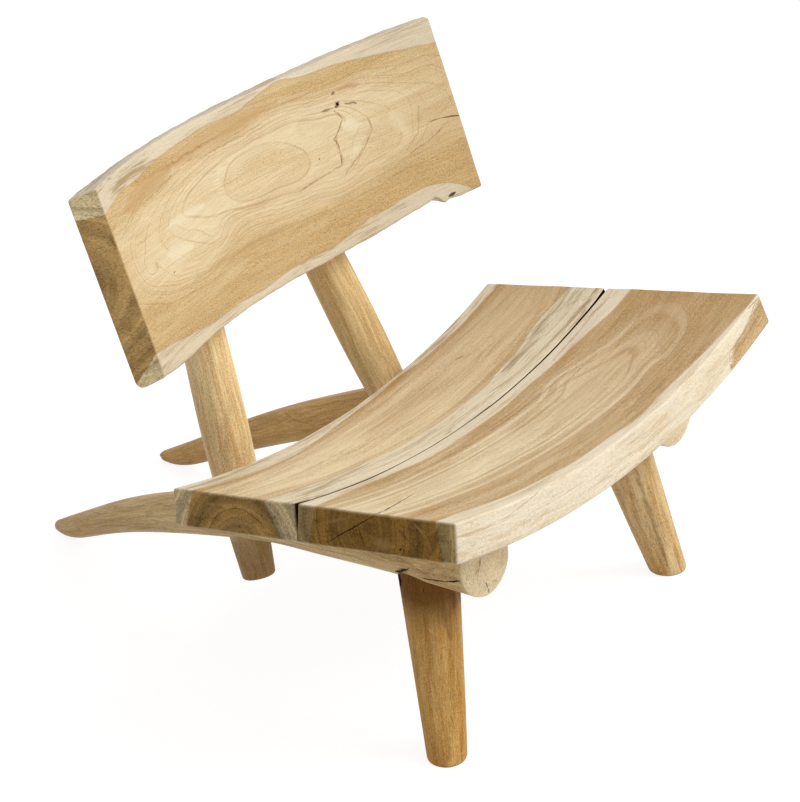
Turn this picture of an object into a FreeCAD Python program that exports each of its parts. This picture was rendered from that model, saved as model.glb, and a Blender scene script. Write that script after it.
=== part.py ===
import FreeCAD, Part
import math
import os

# A low lounge chair of solid teak. Two dished planks make the seat and one curved plank
# with live edges makes the backrest. They stand on two tusk-shaped rails, two splayed
# front legs and two leaning rear posts. The chair rests on the front legs' feet and on
# the flats under the tusks' tips.
# Millimetres, +Z up, the front of the chair towards -Y, the sitter's left towards +X.

Vec = FreeCAD.Vector

# General fits
wood_clearance = 0.1          # radial play of every dowel, peg, plug, tenon and post
screw_clearance = 0.2         # radial play of a screw in the piece it passes through
end_play = 1.0                # free space past the blind end of a dowel, peg or tenon
overrun = 5.0                 # how far a cutting tool runs past what it cuts
same_place = 0.01             # distance within which two points count as one

# Seat: two planks bent across the chair, side by side from front to back
seat_width = 620.0            # chord of the top face from end to end
seat_front_depth = 230.0      # front plank, measured down the slope
seat_rear_depth = 197.0       # rear plank
seat_thickness = 45.0
seat_dish_depth = 43.5        # how far the middle lies below the ends
seat_tilt = 10.7              # degrees that the seat falls towards the back
seat_front_height = 340.5     # top of the dish at the front edge, above the floor
seat_edge_round = 3.0         # easing of every edge but those at the seam
seam_front_bevel = 2.0        # how far the front plank's seam edge leans away at the top
seam_rear_bevel = 6.0         # the same on the rear plank, so that a vee is left open
seam_closed_height = 9.0      # height from the underside where the planks touch

# Dowels across the seam
dowel_radius = 6.0
dowel_length = 80.0
dowel_height = 17.0           # centre of the dowels above the seat's underside
dowel_spread = 210.0          # from the middle dowel to each outer one, along the arc

# Tusk rails: round in section, tapering from a disc at the front to a tip on the floor
rail_length = 825.0           # from the front disc to the tip, in plan along the chair
rail_front_setback = 63.5     # front disc behind the seat's front edge
rail_front_spread = 196.0     # rail's centre from the chair's middle, at the front
rail_tip_spread = 109.0       # the same at the tip
rail_front_radius = 43.0
rail_tip_height = 5.0         # the tip's point above the floor
rail_bed_depth = 3.0          # how deep the seat is let into the rails
rail_floor_sink = 1.5         # height of wood planed off under the tips
rail_front_round = 2.5        # easing of the front disc's rim
rail_front_dome = 9.0         # how far the disc's middle stands forward
# Stations along the rail from the front disc to the tip, each as a share of its length.
# Under the seat the planks set its height, and past the seat the height shares do.
rail_place_shares = [
    0, 0.1, 0.2, 0.3, 0.4, 0.5, 0.6, 0.7, 0.8, 0.87, 0.91, 0.94, 0.963, 0.98, 0.992, 1,
]
rail_spread_shares = [
    1, 0.982, 0.927, 0.841, 0.734, 0.611, 0.48, 0.348, 0.22, 0.137, 0.093, 0.06, 0.036, 0.019, 0.007, 0,
]
rail_radius_shares = [
    1, 0.895, 0.825, 0.785, 0.765, 0.72, 0.667, 0.607, 0.522, 0.458, 0.425, 0.388, 0.325, 0.242, 0.155,
]
rail_height_shares = [0.87, 0.7256, 0.567, 0.386, 0.243, 0.156, 0.09, 0.046, 0.02, 0.006, 0]

# Front legs: round, tapering to the floor and splayed outwards and forwards
leg_foot_setback = 103.5      # foot's centre behind the seat's front edge
leg_foot_spread = 240.0       # foot's centre from the chair's middle
leg_foot_radius = 22.7
leg_top_radius = 37.5         # where the leg's axis meets the rail's axis
leg_rail_share = 0.1102       # that place along the rail
leg_inset = 7.0               # how far inside the rail's axis it lies
leg_foot_round = 3.5
tenon_radius = 17.5
tenon_length = 62.0           # from the leg's shoulder line up into the rail
tenon_shoulder = 44.0         # shoulder line below the rail's axis

# Rear posts: round, through the rails, leaning back and towards each other
post_rail_share = 0.4922      # place along the rail where the post passes through it
post_inset = 8.5
post_lean_back = 17.7         # degrees
post_lean_in = 9.8            # degrees
post_stub_length = 85.0       # along the post, below the rail's axis
post_stub_radius = 19.8
post_rail_radius = 26.8
post_belly_radius = 30.0
post_belly_height = 95.0      # above the rail's axis
post_back_radius = 28.0       # where the backrest starts
post_top_radius = 24.5
post_top_drop = 42.0          # post's top below the backrest's top edge, up the slope
post_end_round = 5.0

# Backrest: one plank, hollow towards the sitter, with live top and bottom edges
back_width = 612.0            # chord of the front face
back_offset = 2.5             # how far the plank sits to the left of the chair's middle
back_height = 236.0           # at the middle, up the slope
back_thickness = 44.0         # at the middle
back_end_thickness = 32.0
back_hollow = 72.0            # how far the front face's middle lies behind its ends
back_end_flare = 21.0         # rear corners stand further out than the front ones
back_recline = 16.8           # degrees
back_bottom_height = 427.0    # front bottom edge at the middle, above the floor
back_bed_depth = 5.0          # how deep the posts' fronts are flattened at its bottom
back_front_round = 3.5        # easing of the front face's long edges
back_end_rear_round = 4.0     # easing of the rear face's long edges at the sawn ends
back_rear_round = 13.0        # the same at the middle, where the bark has worn round
# Live edges: rise of each edge at even stations from the right end to the left one
back_edge_swing = 10.0        # the height that the shares below are part of
back_bottom_shares = [-0.25, -0.42, -0.3, -0.3, -0.15, 0.15, 0.5, 0.75, 0.35]
back_top_shares = [-0.82, -0.42, -0.15, -0.05, 0.0, 0.05, 0.05, -0.15, -0.5]
back_rear_drop_shares = [0.1, 0.5, 0.6, 0.45, 0.25, 0.1, 0.0, 0.0, 0.0]

# Screws and the plugs that close their holes
screw_shank_radius = 3.0
screw_head_radius = 5.5
screw_head_height = 4.0
screw_bore_depth = 16.0       # counterbore in the wood over the head
plug_radius = 7.0
seat_screw_bite = 30.0        # length of screw in the seat
seat_screw_shares = [0.035, 0.17, 0.24, 0.37]
back_screw_bite = 26.0
back_screw_height_shares = [0.24, 0.68]
screw_tip_length = 6.0

# Pegs that lock the tenons and the posts, driven from the rails' inner sides
peg_radius = 4.0
peg_past_length = 8.0         # how far a peg runs past what it locks


def lerp(low, high, share):
    """Value at a share of the way from low to high."""
    return low + (high - low) * share


def arc_radius(chord, rise):
    """Radius of the arc over a chord with the given rise."""
    half = chord / 2
    return (half * half + rise * rise) / (2 * rise)


def cylinder(start, direction, length, radius):
    """Round bar from a start point along a direction."""
    return Part.makeCylinder(radius, length, start, direction)


# Seat frame: origin in the dish's lowest line at the front edge, x across the chair,
# depth down the slope and normal up out of the seat
tilt = math.radians(seat_tilt)
seat_down = Vec(0, math.cos(tilt), -math.sin(tilt))
seat_normal = Vec(0, math.sin(tilt), math.cos(tilt))
seat_origin = Vec(0, 0, seat_front_height)
dish_radius = arc_radius(seat_width, seat_dish_depth)
dish_half_angle = math.degrees(math.asin(seat_width / 2 / dish_radius))
dish_centre = seat_origin + seat_normal * dish_radius
seam_depth = seat_front_depth
seat_depth = seat_front_depth + seat_rear_depth


def seat_point(depth, height):
    """Point on the chair's middle plane, in the seat's section."""
    return seat_origin + seat_down * depth + seat_normal * height


def seat_plank(section_points):
    """Plank swung from end to end round the dish's centre, with its outer edges eased.

    The section is a closed outline in depth and height. The edges at the seam stay sharp.
    """
    outline = Part.Wire(Part.makePolygon(section_points + section_points[:1]))
    face = Part.Face(outline)
    face.rotate(dish_centre, seat_down, -dish_half_angle)
    plank = face.revolve(dish_centre, seat_down, 2 * dish_half_angle)
    seam_start = seam_depth - 2 * seam_front_bevel
    seam_end = seam_depth + 2 * seam_rear_bevel
    outer_edges = []
    for edge in plank.Edges:
        depths = [(vertex.Point - seat_origin).dot(seat_down) for vertex in edge.Vertexes]
        if min(depths) < seam_start or max(depths) > seam_end:
            outer_edges.append(edge)
    return plank.makeFillet(seat_edge_round, outer_edges)


front_section = [
    seat_point(0, 0),
    seat_point(seam_depth - seam_front_bevel, 0),
    seat_point(seam_depth, seam_closed_height - seat_thickness),
    seat_point(seam_depth, -seat_thickness),
    seat_point(0, -seat_thickness),
]
rear_section = [
    seat_point(seam_depth + seam_rear_bevel, 0),
    seat_point(seat_depth, 0),
    seat_point(seat_depth, -seat_thickness),
    seat_point(seam_depth, -seat_thickness),
    seat_point(seam_depth, seam_closed_height - seat_thickness),
]
seat_front_plank = seat_plank(front_section)
seat_rear_plank = seat_plank(rear_section)

# Dowels across the seam, square to it, spread along the arc
seam_dowels = []
for turn in (-1, 0, 1):
    angle = math.degrees(turn * dowel_spread / dish_radius)
    start = seat_point(seam_depth - dowel_length / 2, dowel_height - seat_thickness)
    hole_start = seat_point(seam_depth - dowel_length / 2 - end_play, dowel_height - seat_thickness)
    dowel = cylinder(start, seat_down, dowel_length, dowel_radius)
    hole = cylinder(hole_start, seat_down, dowel_length + 2 * end_play, dowel_radius + wood_clearance)
    for shape in (dowel, hole):
        shape.rotate(dish_centre, seat_down, angle)
    seam_dowels.append(dowel)
    seat_front_plank = seat_front_plank.cut(hole)
    seat_rear_plank = seat_rear_plank.cut(hole)


def underside_height(x, y):
    """Height above the floor of the seat's underside, or of its line carried on."""
    drop = math.sqrt((dish_radius + seat_thickness) ** 2 - x * x)
    along = (y - dish_centre.y + drop * seat_normal.y) / seat_down.y
    return dish_centre.z - drop * seat_normal.z + along * seat_down.z


# The left rail's spine: under the seat it follows the planks, then it falls to the floor
def rail_spine():
    """Centres of the left rail's sections, from the front disc to the tip."""
    seat_stations = len(rail_place_shares) - len(rail_height_shares)
    points = []
    for number, (share, spread_share) in enumerate(zip(rail_place_shares, rail_spread_shares)):
        x = lerp(rail_tip_spread, rail_front_spread, spread_share)
        y = rail_front_setback + rail_length * share
        if number < seat_stations:
            radius = rail_front_radius * rail_radius_shares[number]
            z = underside_height(x, y) + (rail_bed_depth - radius) / math.cos(tilt)
            bed_height = z
        else:
            height_share = rail_height_shares[number - seat_stations]
            z = lerp(rail_tip_height - rail_floor_sink, bed_height, height_share)
        points.append(Vec(x, y, z))
    return points


rail_points = rail_spine()
rail_curve = Part.BSplineCurve()
rail_curve.interpolate(rail_points)


def rail_at(share):
    """Point on the left rail's axis at a share of its length in plan."""
    plane = Part.Plane(Vec(0, rail_front_setback + rail_length * share, 0), Vec(0, 1, 0))
    hit = rail_curve.intersect(plane)[0][0]
    return Vec(hit.X, hit.Y, hit.Z)


def round_section(centre, direction, radius):
    """Circle as a wire."""
    return Part.Wire(Part.Circle(centre, direction, radius).toShape())


def left_rail_blank():
    """Tapering round rail with a domed front and a pointed tip, before it is cut."""
    sections = []
    for centre, radius_share in zip(rail_points, rail_radius_shares):
        direction = rail_curve.tangent(rail_curve.parameter(centre))[0]
        sections.append(round_section(centre, direction, rail_front_radius * radius_share))
    sections.append(Part.Vertex(rail_points[-1]))
    blank = Part.makeLoft(sections, True)
    front_centre = rail_points[0]
    forward = rail_curve.tangent(rail_curve.parameter(front_centre))[0] * -1
    ball_radius = arc_radius(2 * rail_front_radius, rail_front_dome)
    lowest = math.degrees(math.asin(1 - rail_front_dome / ball_radius))
    ball_centre = front_centre - forward * (ball_radius - rail_front_dome)
    dome = Part.makeSphere(ball_radius, ball_centre, forward, lowest, 90, 360)
    blank = blank.fuse(dome).removeSplitter()
    rim = []
    for edge in blank.Edges:
        places = [edge.valueAt(lerp(edge.FirstParameter, edge.LastParameter, share)) for share in (0, 0.5, 1)]
        offsets = [(place - front_centre).Length - rail_front_radius for place in places]
        if max(abs(offset) for offset in offsets) < same_place:
            rim.append(edge)
    return blank.makeFillet(rail_front_round, rim)


rail_blank = left_rail_blank()

# The left front leg: a cone scribed to the rail's underside, with a round tenon
leg_foot = Vec(leg_foot_spread, leg_foot_setback, 0)
leg_meet = rail_at(leg_rail_share) - Vec(leg_inset, 0, 0)
leg_axis = (leg_meet - leg_foot).normalize()
leg_length = (leg_meet - leg_foot).Length


def left_front_leg():
    """Leg cut level at the floor, eased there, and coped to the rail."""
    grow = (leg_top_radius - leg_foot_radius) / leg_length
    start = leg_foot - leg_axis * (2 * leg_foot_radius)
    low_radius = leg_foot_radius - grow * 2 * leg_foot_radius
    cone_length = leg_length + 2 * leg_foot_radius
    cone = Part.makeCone(low_radius, leg_top_radius, cone_length, start, leg_axis)
    reach = leg_foot_spread + seat_width
    ground = Part.makeBox(2 * reach, 2 * reach, reach, Vec(-reach, -reach, -reach))
    leg = cone.cut(ground)
    foot_edges = [edge for edge in leg.Edges if edge.BoundBox.ZMax < leg_foot_radius / 4]
    leg = leg.makeFillet(leg_foot_round, foot_edges)
    leg = max(leg.cut(rail_blank).Solids, key=lambda solid: solid.Volume)
    shoulder = leg_meet - leg_axis * tenon_shoulder
    tenon = cylinder(shoulder - leg_axis * overrun, leg_axis, tenon_length + overrun, tenon_radius)
    return leg.fuse(tenon).removeSplitter()


tenon_hole = cylinder(
    leg_meet - leg_axis * (tenon_shoulder + leg_top_radius),
    leg_axis,
    tenon_length + leg_top_radius + end_play,
    tenon_radius + wood_clearance,
)
front_leg = left_front_leg()

# The left rear post: a turned bar with its belly behind the seat
lean_back = math.radians(post_lean_back)
lean_in = math.radians(post_lean_in)
post_axis = Vec(-math.tan(lean_in), math.tan(lean_back), 1).normalize()
post_cross = rail_at(post_rail_share) - Vec(post_inset, 0, 0)

# Backrest frame: origin on the front face's bottom edge at the middle, rise up the
# slope and facing out towards the sitter
recline = math.radians(back_recline)
back_rise = Vec(0, math.sin(recline), math.cos(recline))
back_facing = Vec(0, -math.cos(recline), math.sin(recline))
back_front_radius = arc_radius(back_width, back_hollow)
back_end_slope = math.asin(back_width / 2 / back_front_radius)
# The rear corner follows from the thickness at the end and from the flare
back_end_depth = (back_end_thickness - back_end_flare * math.sin(back_end_slope)) / math.cos(back_end_slope)
back_rear_width = back_width + 2 * back_end_flare
back_rear_hollow = back_hollow - back_end_depth + back_thickness
back_rear_radius = arc_radius(back_rear_width, back_rear_hollow)


def arc_rise(radius, x):
    """How far an arc has come forward at x from its lowest point."""
    return radius - math.sqrt(radius * radius - x * x)


def post_place(height):
    """Point on the left post's axis at a height above the floor."""
    return post_cross + post_axis * ((height - post_cross.z) / post_axis.z)


bed_point = post_place(back_bottom_height)
bed_front = bed_point.y - post_back_radius / math.cos(lean_back)
back_depth_there = back_thickness - arc_rise(back_rear_radius, bed_point.x)
back_origin = Vec(
    0,
    bed_front + back_bed_depth - back_depth_there * math.cos(recline),
    back_bottom_height,
)


def back_point(x, facing, rise):
    """Point in the backrest's frame."""
    return back_origin + Vec(x + back_offset, 0, 0) + back_facing * facing + back_rise * rise


def back_section(share, bottom_share, top_share, drop_share):
    """Cross-section of the backrest at a share from its right end to its left one."""
    side = 2 * share - 1
    rear_round = lerp(back_rear_round, back_end_rear_round, side ** 4)
    front_x = side * back_width / 2
    rear_x = side * back_rear_width / 2
    front = arc_rise(back_front_radius, front_x)
    rear = arc_rise(back_rear_radius, rear_x) - back_thickness
    bottom = back_edge_swing * bottom_share
    top = back_height + back_edge_swing * top_share

    def corner(at, toward_a, toward_b, radius):
        """Start, middle and end of a rounded corner."""
        start = at + toward_a * radius
        end = at + toward_b * radius
        belly = at + (toward_a + toward_b) * (radius * (1 - math.sqrt(0.5)))
        return start, belly, end

    front_bottom = back_point(front_x, front, bottom)
    front_top = back_point(front_x, front, top)
    rear_top = back_point(rear_x, rear, top - back_edge_swing * drop_share)
    rear_bottom = back_point(rear_x, rear, bottom)
    inward = (rear_top - front_top).normalize()
    corners = [
        corner(front_bottom, inward, back_rise, back_front_round),
        corner(front_top, -back_rise, inward, back_front_round),
        corner(rear_top, -inward, -back_rise, rear_round),
        corner(rear_bottom, back_rise, -inward, rear_round),
    ]
    edges = []
    for number, (start, belly, end) in enumerate(corners):
        edges.append(Part.Arc(start, belly, end).toShape())
        edges.append(Part.LineSegment(end, corners[(number + 1) % len(corners)][0]).toShape())
    return Part.Wire(edges)


last_station = len(back_bottom_shares) - 1
live_edge_shares = zip(back_bottom_shares, back_top_shares, back_rear_drop_shares)
back_sections = []
for number, shares in enumerate(live_edge_shares):
    back_sections.append(back_section(number / last_station, *shares))
backrest = Part.makeLoft(back_sections, True)

post_top_rise = back_height - post_top_drop
post_top = post_place(back_point(0, 0, post_top_rise).z)
post_length = (post_top - post_cross).Length
post_back_length = (bed_point - post_cross).Length


def left_post_body(extra):
    """Turned post, with its outline moved out by extra all round."""
    outline = [
        (-post_stub_length, post_stub_radius),
        (0, post_rail_radius),
        (post_belly_height, post_belly_radius),
        (post_back_length, post_back_radius),
        (post_length, post_top_radius),
    ]
    points = [Vec(radius + extra, 0, along) for along, radius in outline]
    side = Part.BSplineCurve()
    side.interpolate(points)
    first, last = points[0], points[-1]
    edges = [
        Part.LineSegment(Vec(0, 0, first.z), first).toShape(),
        side.toShape(),
        Part.LineSegment(last, Vec(0, 0, last.z)).toShape(),
        Part.LineSegment(Vec(0, 0, last.z), Vec(0, 0, first.z)).toShape(),
    ]
    body = Part.Face(Part.Wire(edges)).revolve(Vec(0, 0, 0), Vec(0, 0, 1), 360)
    if extra == 0:
        rims = [edge for edge in body.Edges if edge.Closed and isinstance(edge.Curve, Part.Circle)]
        body = body.makeFillet(post_end_round, rims)
    turn = FreeCAD.Rotation(Vec(0, 0, 1), post_axis)
    body.Placement = FreeCAD.Placement(post_cross, turn)
    return body


rear_post = left_post_body(0).cut(backrest)
rear_post = max(rear_post.Solids, key=lambda solid: solid.Volume)
tusk_rail = rail_blank.cut(seat_front_plank).cut(seat_rear_plank)
tusk_rail = tusk_rail.cut(left_post_body(wood_clearance)).cut(tenon_hole)
reach = rail_length + seat_width
floor_block = Part.makeBox(2 * reach, 2 * reach, reach, Vec(-reach, -reach, -reach))
tusk_rail = tusk_rail.cut(floor_block)


def screw(head_start, direction, length):
    """Countersunk screw from the outer face of its head to its tip."""
    head = Part.makeCone(screw_head_radius, screw_shank_radius, screw_head_height, head_start, direction)
    shank_length = length - screw_head_height - screw_tip_length
    shank = cylinder(head_start + direction * screw_head_height, direction, shank_length, screw_shank_radius)
    tip_start = head_start + direction * (length - screw_tip_length)
    tip = Part.makeCone(screw_shank_radius, screw_shank_radius / 4, screw_tip_length, tip_start, direction)
    return head.fuse(shank).fuse(tip).removeSplitter()


def surface_hit(shape, origin, direction, reach_length):
    """First place where a line from outside meets a shape."""
    line = Part.LineSegment(origin, origin + direction * reach_length).toShape()
    inside = line.common(shape)
    return min((vertex.Point for vertex in inside.Vertexes), key=lambda point: (point - origin).Length)


def fixing(blank, aim, direction, bite_point_length, away):
    """Screw, plug and the holes for both, driven into a blank along a direction.

    Args: the blank that takes the head, a point on the screw's line, the direction in
    which it is driven, its whole length past the counterbore and how far outside the
    blank the line is picked up.
    """
    surface = surface_hit(blank, aim - direction * away, direction, 2 * away)
    seat = surface + direction * screw_bore_depth
    body = screw(seat, direction, bite_point_length)
    plug = cylinder(surface - direction * plug_radius, direction, plug_radius + screw_bore_depth, plug_radius)
    plug = plug.common(blank)
    bore = cylinder(
        surface - direction * plug_radius,
        direction,
        plug_radius + screw_bore_depth,
        plug_radius + wood_clearance,
    )
    passage = cylinder(seat, direction, bite_point_length + end_play, screw_shank_radius + screw_clearance)
    sink = Part.makeCone(
        screw_head_radius + screw_clearance,
        screw_shank_radius + screw_clearance,
        screw_head_height,
        seat,
        direction,
    )
    return body, plug, bore.fuse(passage).fuse(sink)


# Screws up through the left rail into the seat
left_seat_screws = []
left_seat_plugs = []
seat_screw_holes = []
for share in seat_screw_shares:
    aim = rail_at(share)
    away = 2 * rail_front_radius
    bottom = surface_hit(rail_blank, aim - seat_normal * away, seat_normal, away)
    bed = Vec(aim.x, aim.y, underside_height(aim.x, aim.y))
    length = (bed - bottom).dot(seat_normal) - screw_bore_depth + seat_screw_bite
    body, plug, hole = fixing(rail_blank, aim, seat_normal, length, away)
    left_seat_screws.append(body)
    left_seat_plugs.append(plug)
    seat_screw_holes.append(hole)

# Screws through the left post into the backrest
left_back_screws = []
left_back_plugs = []
back_screw_holes = []
post_blank = left_post_body(0)
for share in back_screw_height_shares:
    aim = post_place(back_point(0, 0, back_height * share).z)
    away = 3 * post_belly_radius
    behind = surface_hit(post_blank, aim - back_facing * away, back_facing, 2 * away)
    bed = surface_hit(backrest, aim - back_facing * away, back_facing, 2 * away)
    length = (bed - behind).Length - screw_bore_depth + back_screw_bite
    body, plug, hole = fixing(post_blank, aim, back_facing, length, away)
    left_back_screws.append(body)
    left_back_plugs.append(plug)
    back_screw_holes.append(hole)


def peg_across(target, radius_there):
    """Peg from the left rail's inner side across what it locks, with its hole."""
    inward = Vec(1, 0, 0)
    start = target - inward * (2 * rail_front_radius)
    length = 2 * rail_front_radius + radius_there + peg_past_length
    peg = cylinder(start, inward, length, peg_radius).common(rail_blank)
    hole = cylinder(start, inward, length + end_play, peg_radius + wood_clearance)
    return peg, hole


tenon_peg, tenon_peg_hole = peg_across(leg_meet, tenon_radius)
post_peg, post_peg_hole = peg_across(post_cross, post_rail_radius)

for hole in seat_screw_holes:
    tusk_rail = tusk_rail.cut(hole)
for hole in back_screw_holes:
    rear_post = rear_post.cut(hole)
tusk_rail = tusk_rail.cut(tenon_peg_hole).cut(post_peg_hole)
front_leg = front_leg.cut(tenon_peg_hole)
rear_post = rear_post.cut(post_peg_hole)


def mirrored(shape):
    """The same shape on the other side of the chair."""
    return shape.mirror(Vec(0, 0, 0), Vec(1, 0, 0))


for hole in seat_screw_holes:
    seat_front_plank = seat_front_plank.cut(hole).cut(mirrored(hole))
    seat_rear_plank = seat_rear_plank.cut(hole).cut(mirrored(hole))
for hole in back_screw_holes:
    backrest = backrest.cut(hole).cut(mirrored(hole))


def both_sides(shapes):
    """One group of the given left-hand solids and their mirror images."""
    solids = []
    for shape in shapes:
        solids.extend(shape.Solids)
        solids.extend(mirrored(shape).Solids)
    return Part.makeCompound(solids)


nodes = {
    "seat_front_plank": seat_front_plank,
    "seat_rear_plank": seat_rear_plank,
    "seat_seam_dowels": Part.makeCompound(seam_dowels),
    "backrest": backrest,
    "tusk_rail_left": tusk_rail,
    "tusk_rail_right": mirrored(tusk_rail),
    "front_leg_left": front_leg,
    "front_leg_right": mirrored(front_leg),
    "rear_post_left": rear_post,
    "rear_post_right": mirrored(rear_post),
    "seat_screws": both_sides(left_seat_screws),
    "seat_screw_plugs": both_sides(left_seat_plugs),
    "back_screws": both_sides(left_back_screws),
    "back_screw_plugs": both_sides(left_back_plugs),
    "leg_tenon_pegs": both_sides([tenon_peg]),
    "post_lock_pegs": both_sides([post_peg]),
}

# The origin goes under the middle of the whole chair, on the floor
boxes = [shape.optimalBoundingBox(False, False) for shape in nodes.values()]
low = Vec(*(min(getattr(box, side) for box in boxes) for side in ("XMin", "YMin", "ZMin")))
high = Vec(*(max(getattr(box, side) for box in boxes) for side in ("XMax", "YMax", "ZMax")))
to_origin = Vec(-(low.x + high.x) / 2, -(low.y + high.y) / 2, -low.z)
os.makedirs("parts", exist_ok=True)
for name, shape in nodes.items():
    placed = shape.copy()
    placed.translate(to_origin)
    placed.exportStep(f"parts/{name}.step")
    print(name, len(placed.Solids), "solids, volume", round(placed.Volume), "valid", placed.isValid())
print("size", tuple(round(value, 2) for value in high - low))
print("moved by", tuple(round(value, 3) for value in to_origin))
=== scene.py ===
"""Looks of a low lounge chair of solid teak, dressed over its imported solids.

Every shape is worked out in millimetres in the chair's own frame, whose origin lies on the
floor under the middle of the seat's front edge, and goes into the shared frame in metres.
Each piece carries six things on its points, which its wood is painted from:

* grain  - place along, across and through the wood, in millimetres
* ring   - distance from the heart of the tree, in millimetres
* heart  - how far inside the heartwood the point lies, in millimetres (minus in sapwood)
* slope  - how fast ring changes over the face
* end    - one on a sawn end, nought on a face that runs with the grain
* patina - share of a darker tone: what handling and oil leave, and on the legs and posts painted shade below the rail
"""

import logging
import math
from collections.abc import Callable
from dataclasses import dataclass, replace
from enum import Enum
from types import SimpleNamespace
from typing import ClassVar

import bpy
import numpy as np
from mathutils import Matrix, Vector

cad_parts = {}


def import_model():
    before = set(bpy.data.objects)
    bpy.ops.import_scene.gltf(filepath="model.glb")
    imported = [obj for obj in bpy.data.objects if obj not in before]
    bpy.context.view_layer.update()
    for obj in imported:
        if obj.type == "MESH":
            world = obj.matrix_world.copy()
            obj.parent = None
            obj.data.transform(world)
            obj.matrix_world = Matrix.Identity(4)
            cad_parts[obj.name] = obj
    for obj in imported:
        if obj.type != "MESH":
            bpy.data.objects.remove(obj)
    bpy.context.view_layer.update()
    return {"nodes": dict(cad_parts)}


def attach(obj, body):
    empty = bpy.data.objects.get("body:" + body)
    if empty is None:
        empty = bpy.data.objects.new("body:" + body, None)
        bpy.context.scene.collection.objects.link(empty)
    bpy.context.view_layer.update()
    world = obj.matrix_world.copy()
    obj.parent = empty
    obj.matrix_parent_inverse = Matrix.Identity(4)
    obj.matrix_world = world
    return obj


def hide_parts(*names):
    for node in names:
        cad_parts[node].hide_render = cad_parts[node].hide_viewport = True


LOG = logging.getLogger("lounge_chair")

METRES_PER_MM = 0.001
CHAIR_TO_FRAME = np.array([-2.5, -440.325, 0.0])

X_AXIS = np.array([1.0, 0.0, 0.0])

SEAT_HALF_ARC = 314.1
DEEP_IN_HEART = 100.0
EASED_POINTS = 7

PAINTED = ("ring", "slope", "heart", "end", "patina")
WOOD_COLOURS = ("pale", "deep", "late", "sap", "sap_deep", "aged", "pore")
FIBRE_MASKS = ("streak", "hairs", "specks", "cloud", "band", "sand")
STRENGTHS = tuple(f"{key}_strength" for key in ("line", "streak", "band", "hair", "speck", "sand", "border"))
SOCKETS = {"VALUE": "NodeSocketFloat", "VECTOR": "NodeSocketVector", "RGBA": "NodeSocketColor"}

Rgb = tuple[float, float, float]
Knots = tuple[tuple[float, float], ...]
Ramp = tuple[float, float]
Field = Callable[[np.ndarray, np.ndarray], np.ndarray]


class Side(Enum):
    """Which side of the chair a paired piece stands on, for the sitter."""

    LEFT = 1.0
    RIGHT = -1.0


class GrainSource(Enum):
    """Where a wood finish reads its place in the timber."""

    PIECE = "the piece's own attributes"
    PLACE = "object coordinates"


# ---------------------------------------------------------------------------
# Shapes
# ---------------------------------------------------------------------------


def smooth_line(places: np.ndarray, knots: Knots) -> np.ndarray:
    """Value of a smooth line through given points.

    Cubic pieces join the points, and each point's slope is that of its neighbours' chord.

    Args:
        places: where the line is read, of any shape.
        knots: (place, value) pairs with rising places.

    Returns:
        The values, in the shape of places. Past the ends the end values hold.
    """
    xs, ys = np.array(knots, float).T
    slopes = np.gradient(ys, xs)
    i = np.clip(np.searchsorted(xs, places) - 1, 0, len(xs) - 2)
    width = xs[i + 1] - xs[i]
    t = np.clip((places - xs[i]) / width, 0, 1)
    start = (1 + 2 * t) * (1 - t) ** 2 * ys[i] + t * (1 - t) ** 2 * width * slopes[i]
    finish = t**2 * (3 - 2 * t) * ys[i + 1] + t**2 * (t - 1) * width * slopes[i + 1]
    return start + finish


def ramp(values: np.ndarray, span: Ramp) -> np.ndarray:
    """Share that climbs from 0 where the span starts to 1 a width on; a minus width goes back."""
    start, width = span
    return np.clip((values - start) / width, 0, 1)


def ripple(a: np.ndarray, b: np.ndarray, seed: float) -> np.ndarray:
    """Gentle unevenness of a hand-worked face, between about -1 and 1.

    It is the mean of three sine waves that run at different slants over (a, b).
    """
    first = np.sin(a * 0.021 + b * 0.037 + seed)
    second = np.sin(a * 0.053 - b * 0.029 + 2.3 * seed)
    third = np.sin(a * 0.009 + b * 0.071 + 4.1 * seed)
    return (first + second + third) / 3


def rounded_rings(corners: np.ndarray, radii: np.ndarray, inset: np.ndarray, steps: tuple[int, ...]) -> np.ndarray:
    """Closed outlines with rounded corners, one for each station along a plank.

    At a corner V with unit directions a and b towards its neighbours the outline is
    V + a r (1 - sin f) + b r (1 - cos f) as f goes from 0 to 90 degrees.

    Args:
        corners: (stations, corners, dims) corner points in order.
        radii: (stations, corners) rounding of each corner.
        inset: (stations,) how far the whole outline is drawn in.
        steps: how many points the side after each corner gets.

    Returns:
        (stations, points, dims) outline points.
    """
    before = np.roll(corners, 1, axis=1) - corners
    after = np.roll(corners, -1, axis=1) - corners
    before /= np.linalg.norm(before, axis=2, keepdims=True)
    after /= np.linalg.norm(after, axis=2, keepdims=True)
    drawn = corners + (before + after) * inset[:, None, None]
    left = np.maximum(radii - inset[:, None], 0.15)[:, :, None, None]
    turn = np.linspace(0, math.pi / 2, 6)[None, None, :, None]
    arcs = (
        drawn[:, :, None]
        + before[:, :, None] * left * (1 - np.sin(turn))
        + after[:, :, None] * left * (1 - np.cos(turn))
    )
    parts = []
    for number, count in enumerate(steps):
        share = np.linspace(0, 1, count + 2)[1:-1][None, :, None]
        start = arcs[:, number, -1][:, None]
        finish = arcs[:, (number + 1) % len(steps), 0][:, None]
        parts += [arcs[:, number], start + (finish - start) * share]
    return np.concatenate(parts, axis=1)


def section(*corners: tuple[np.ndarray, float]) -> np.ndarray:
    """Corners given as depths and one height each, as (stations, corners, 2)."""
    return np.stack([np.stack([depth, np.full_like(depth, height)], axis=-1) for depth, height in corners], axis=1)


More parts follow.
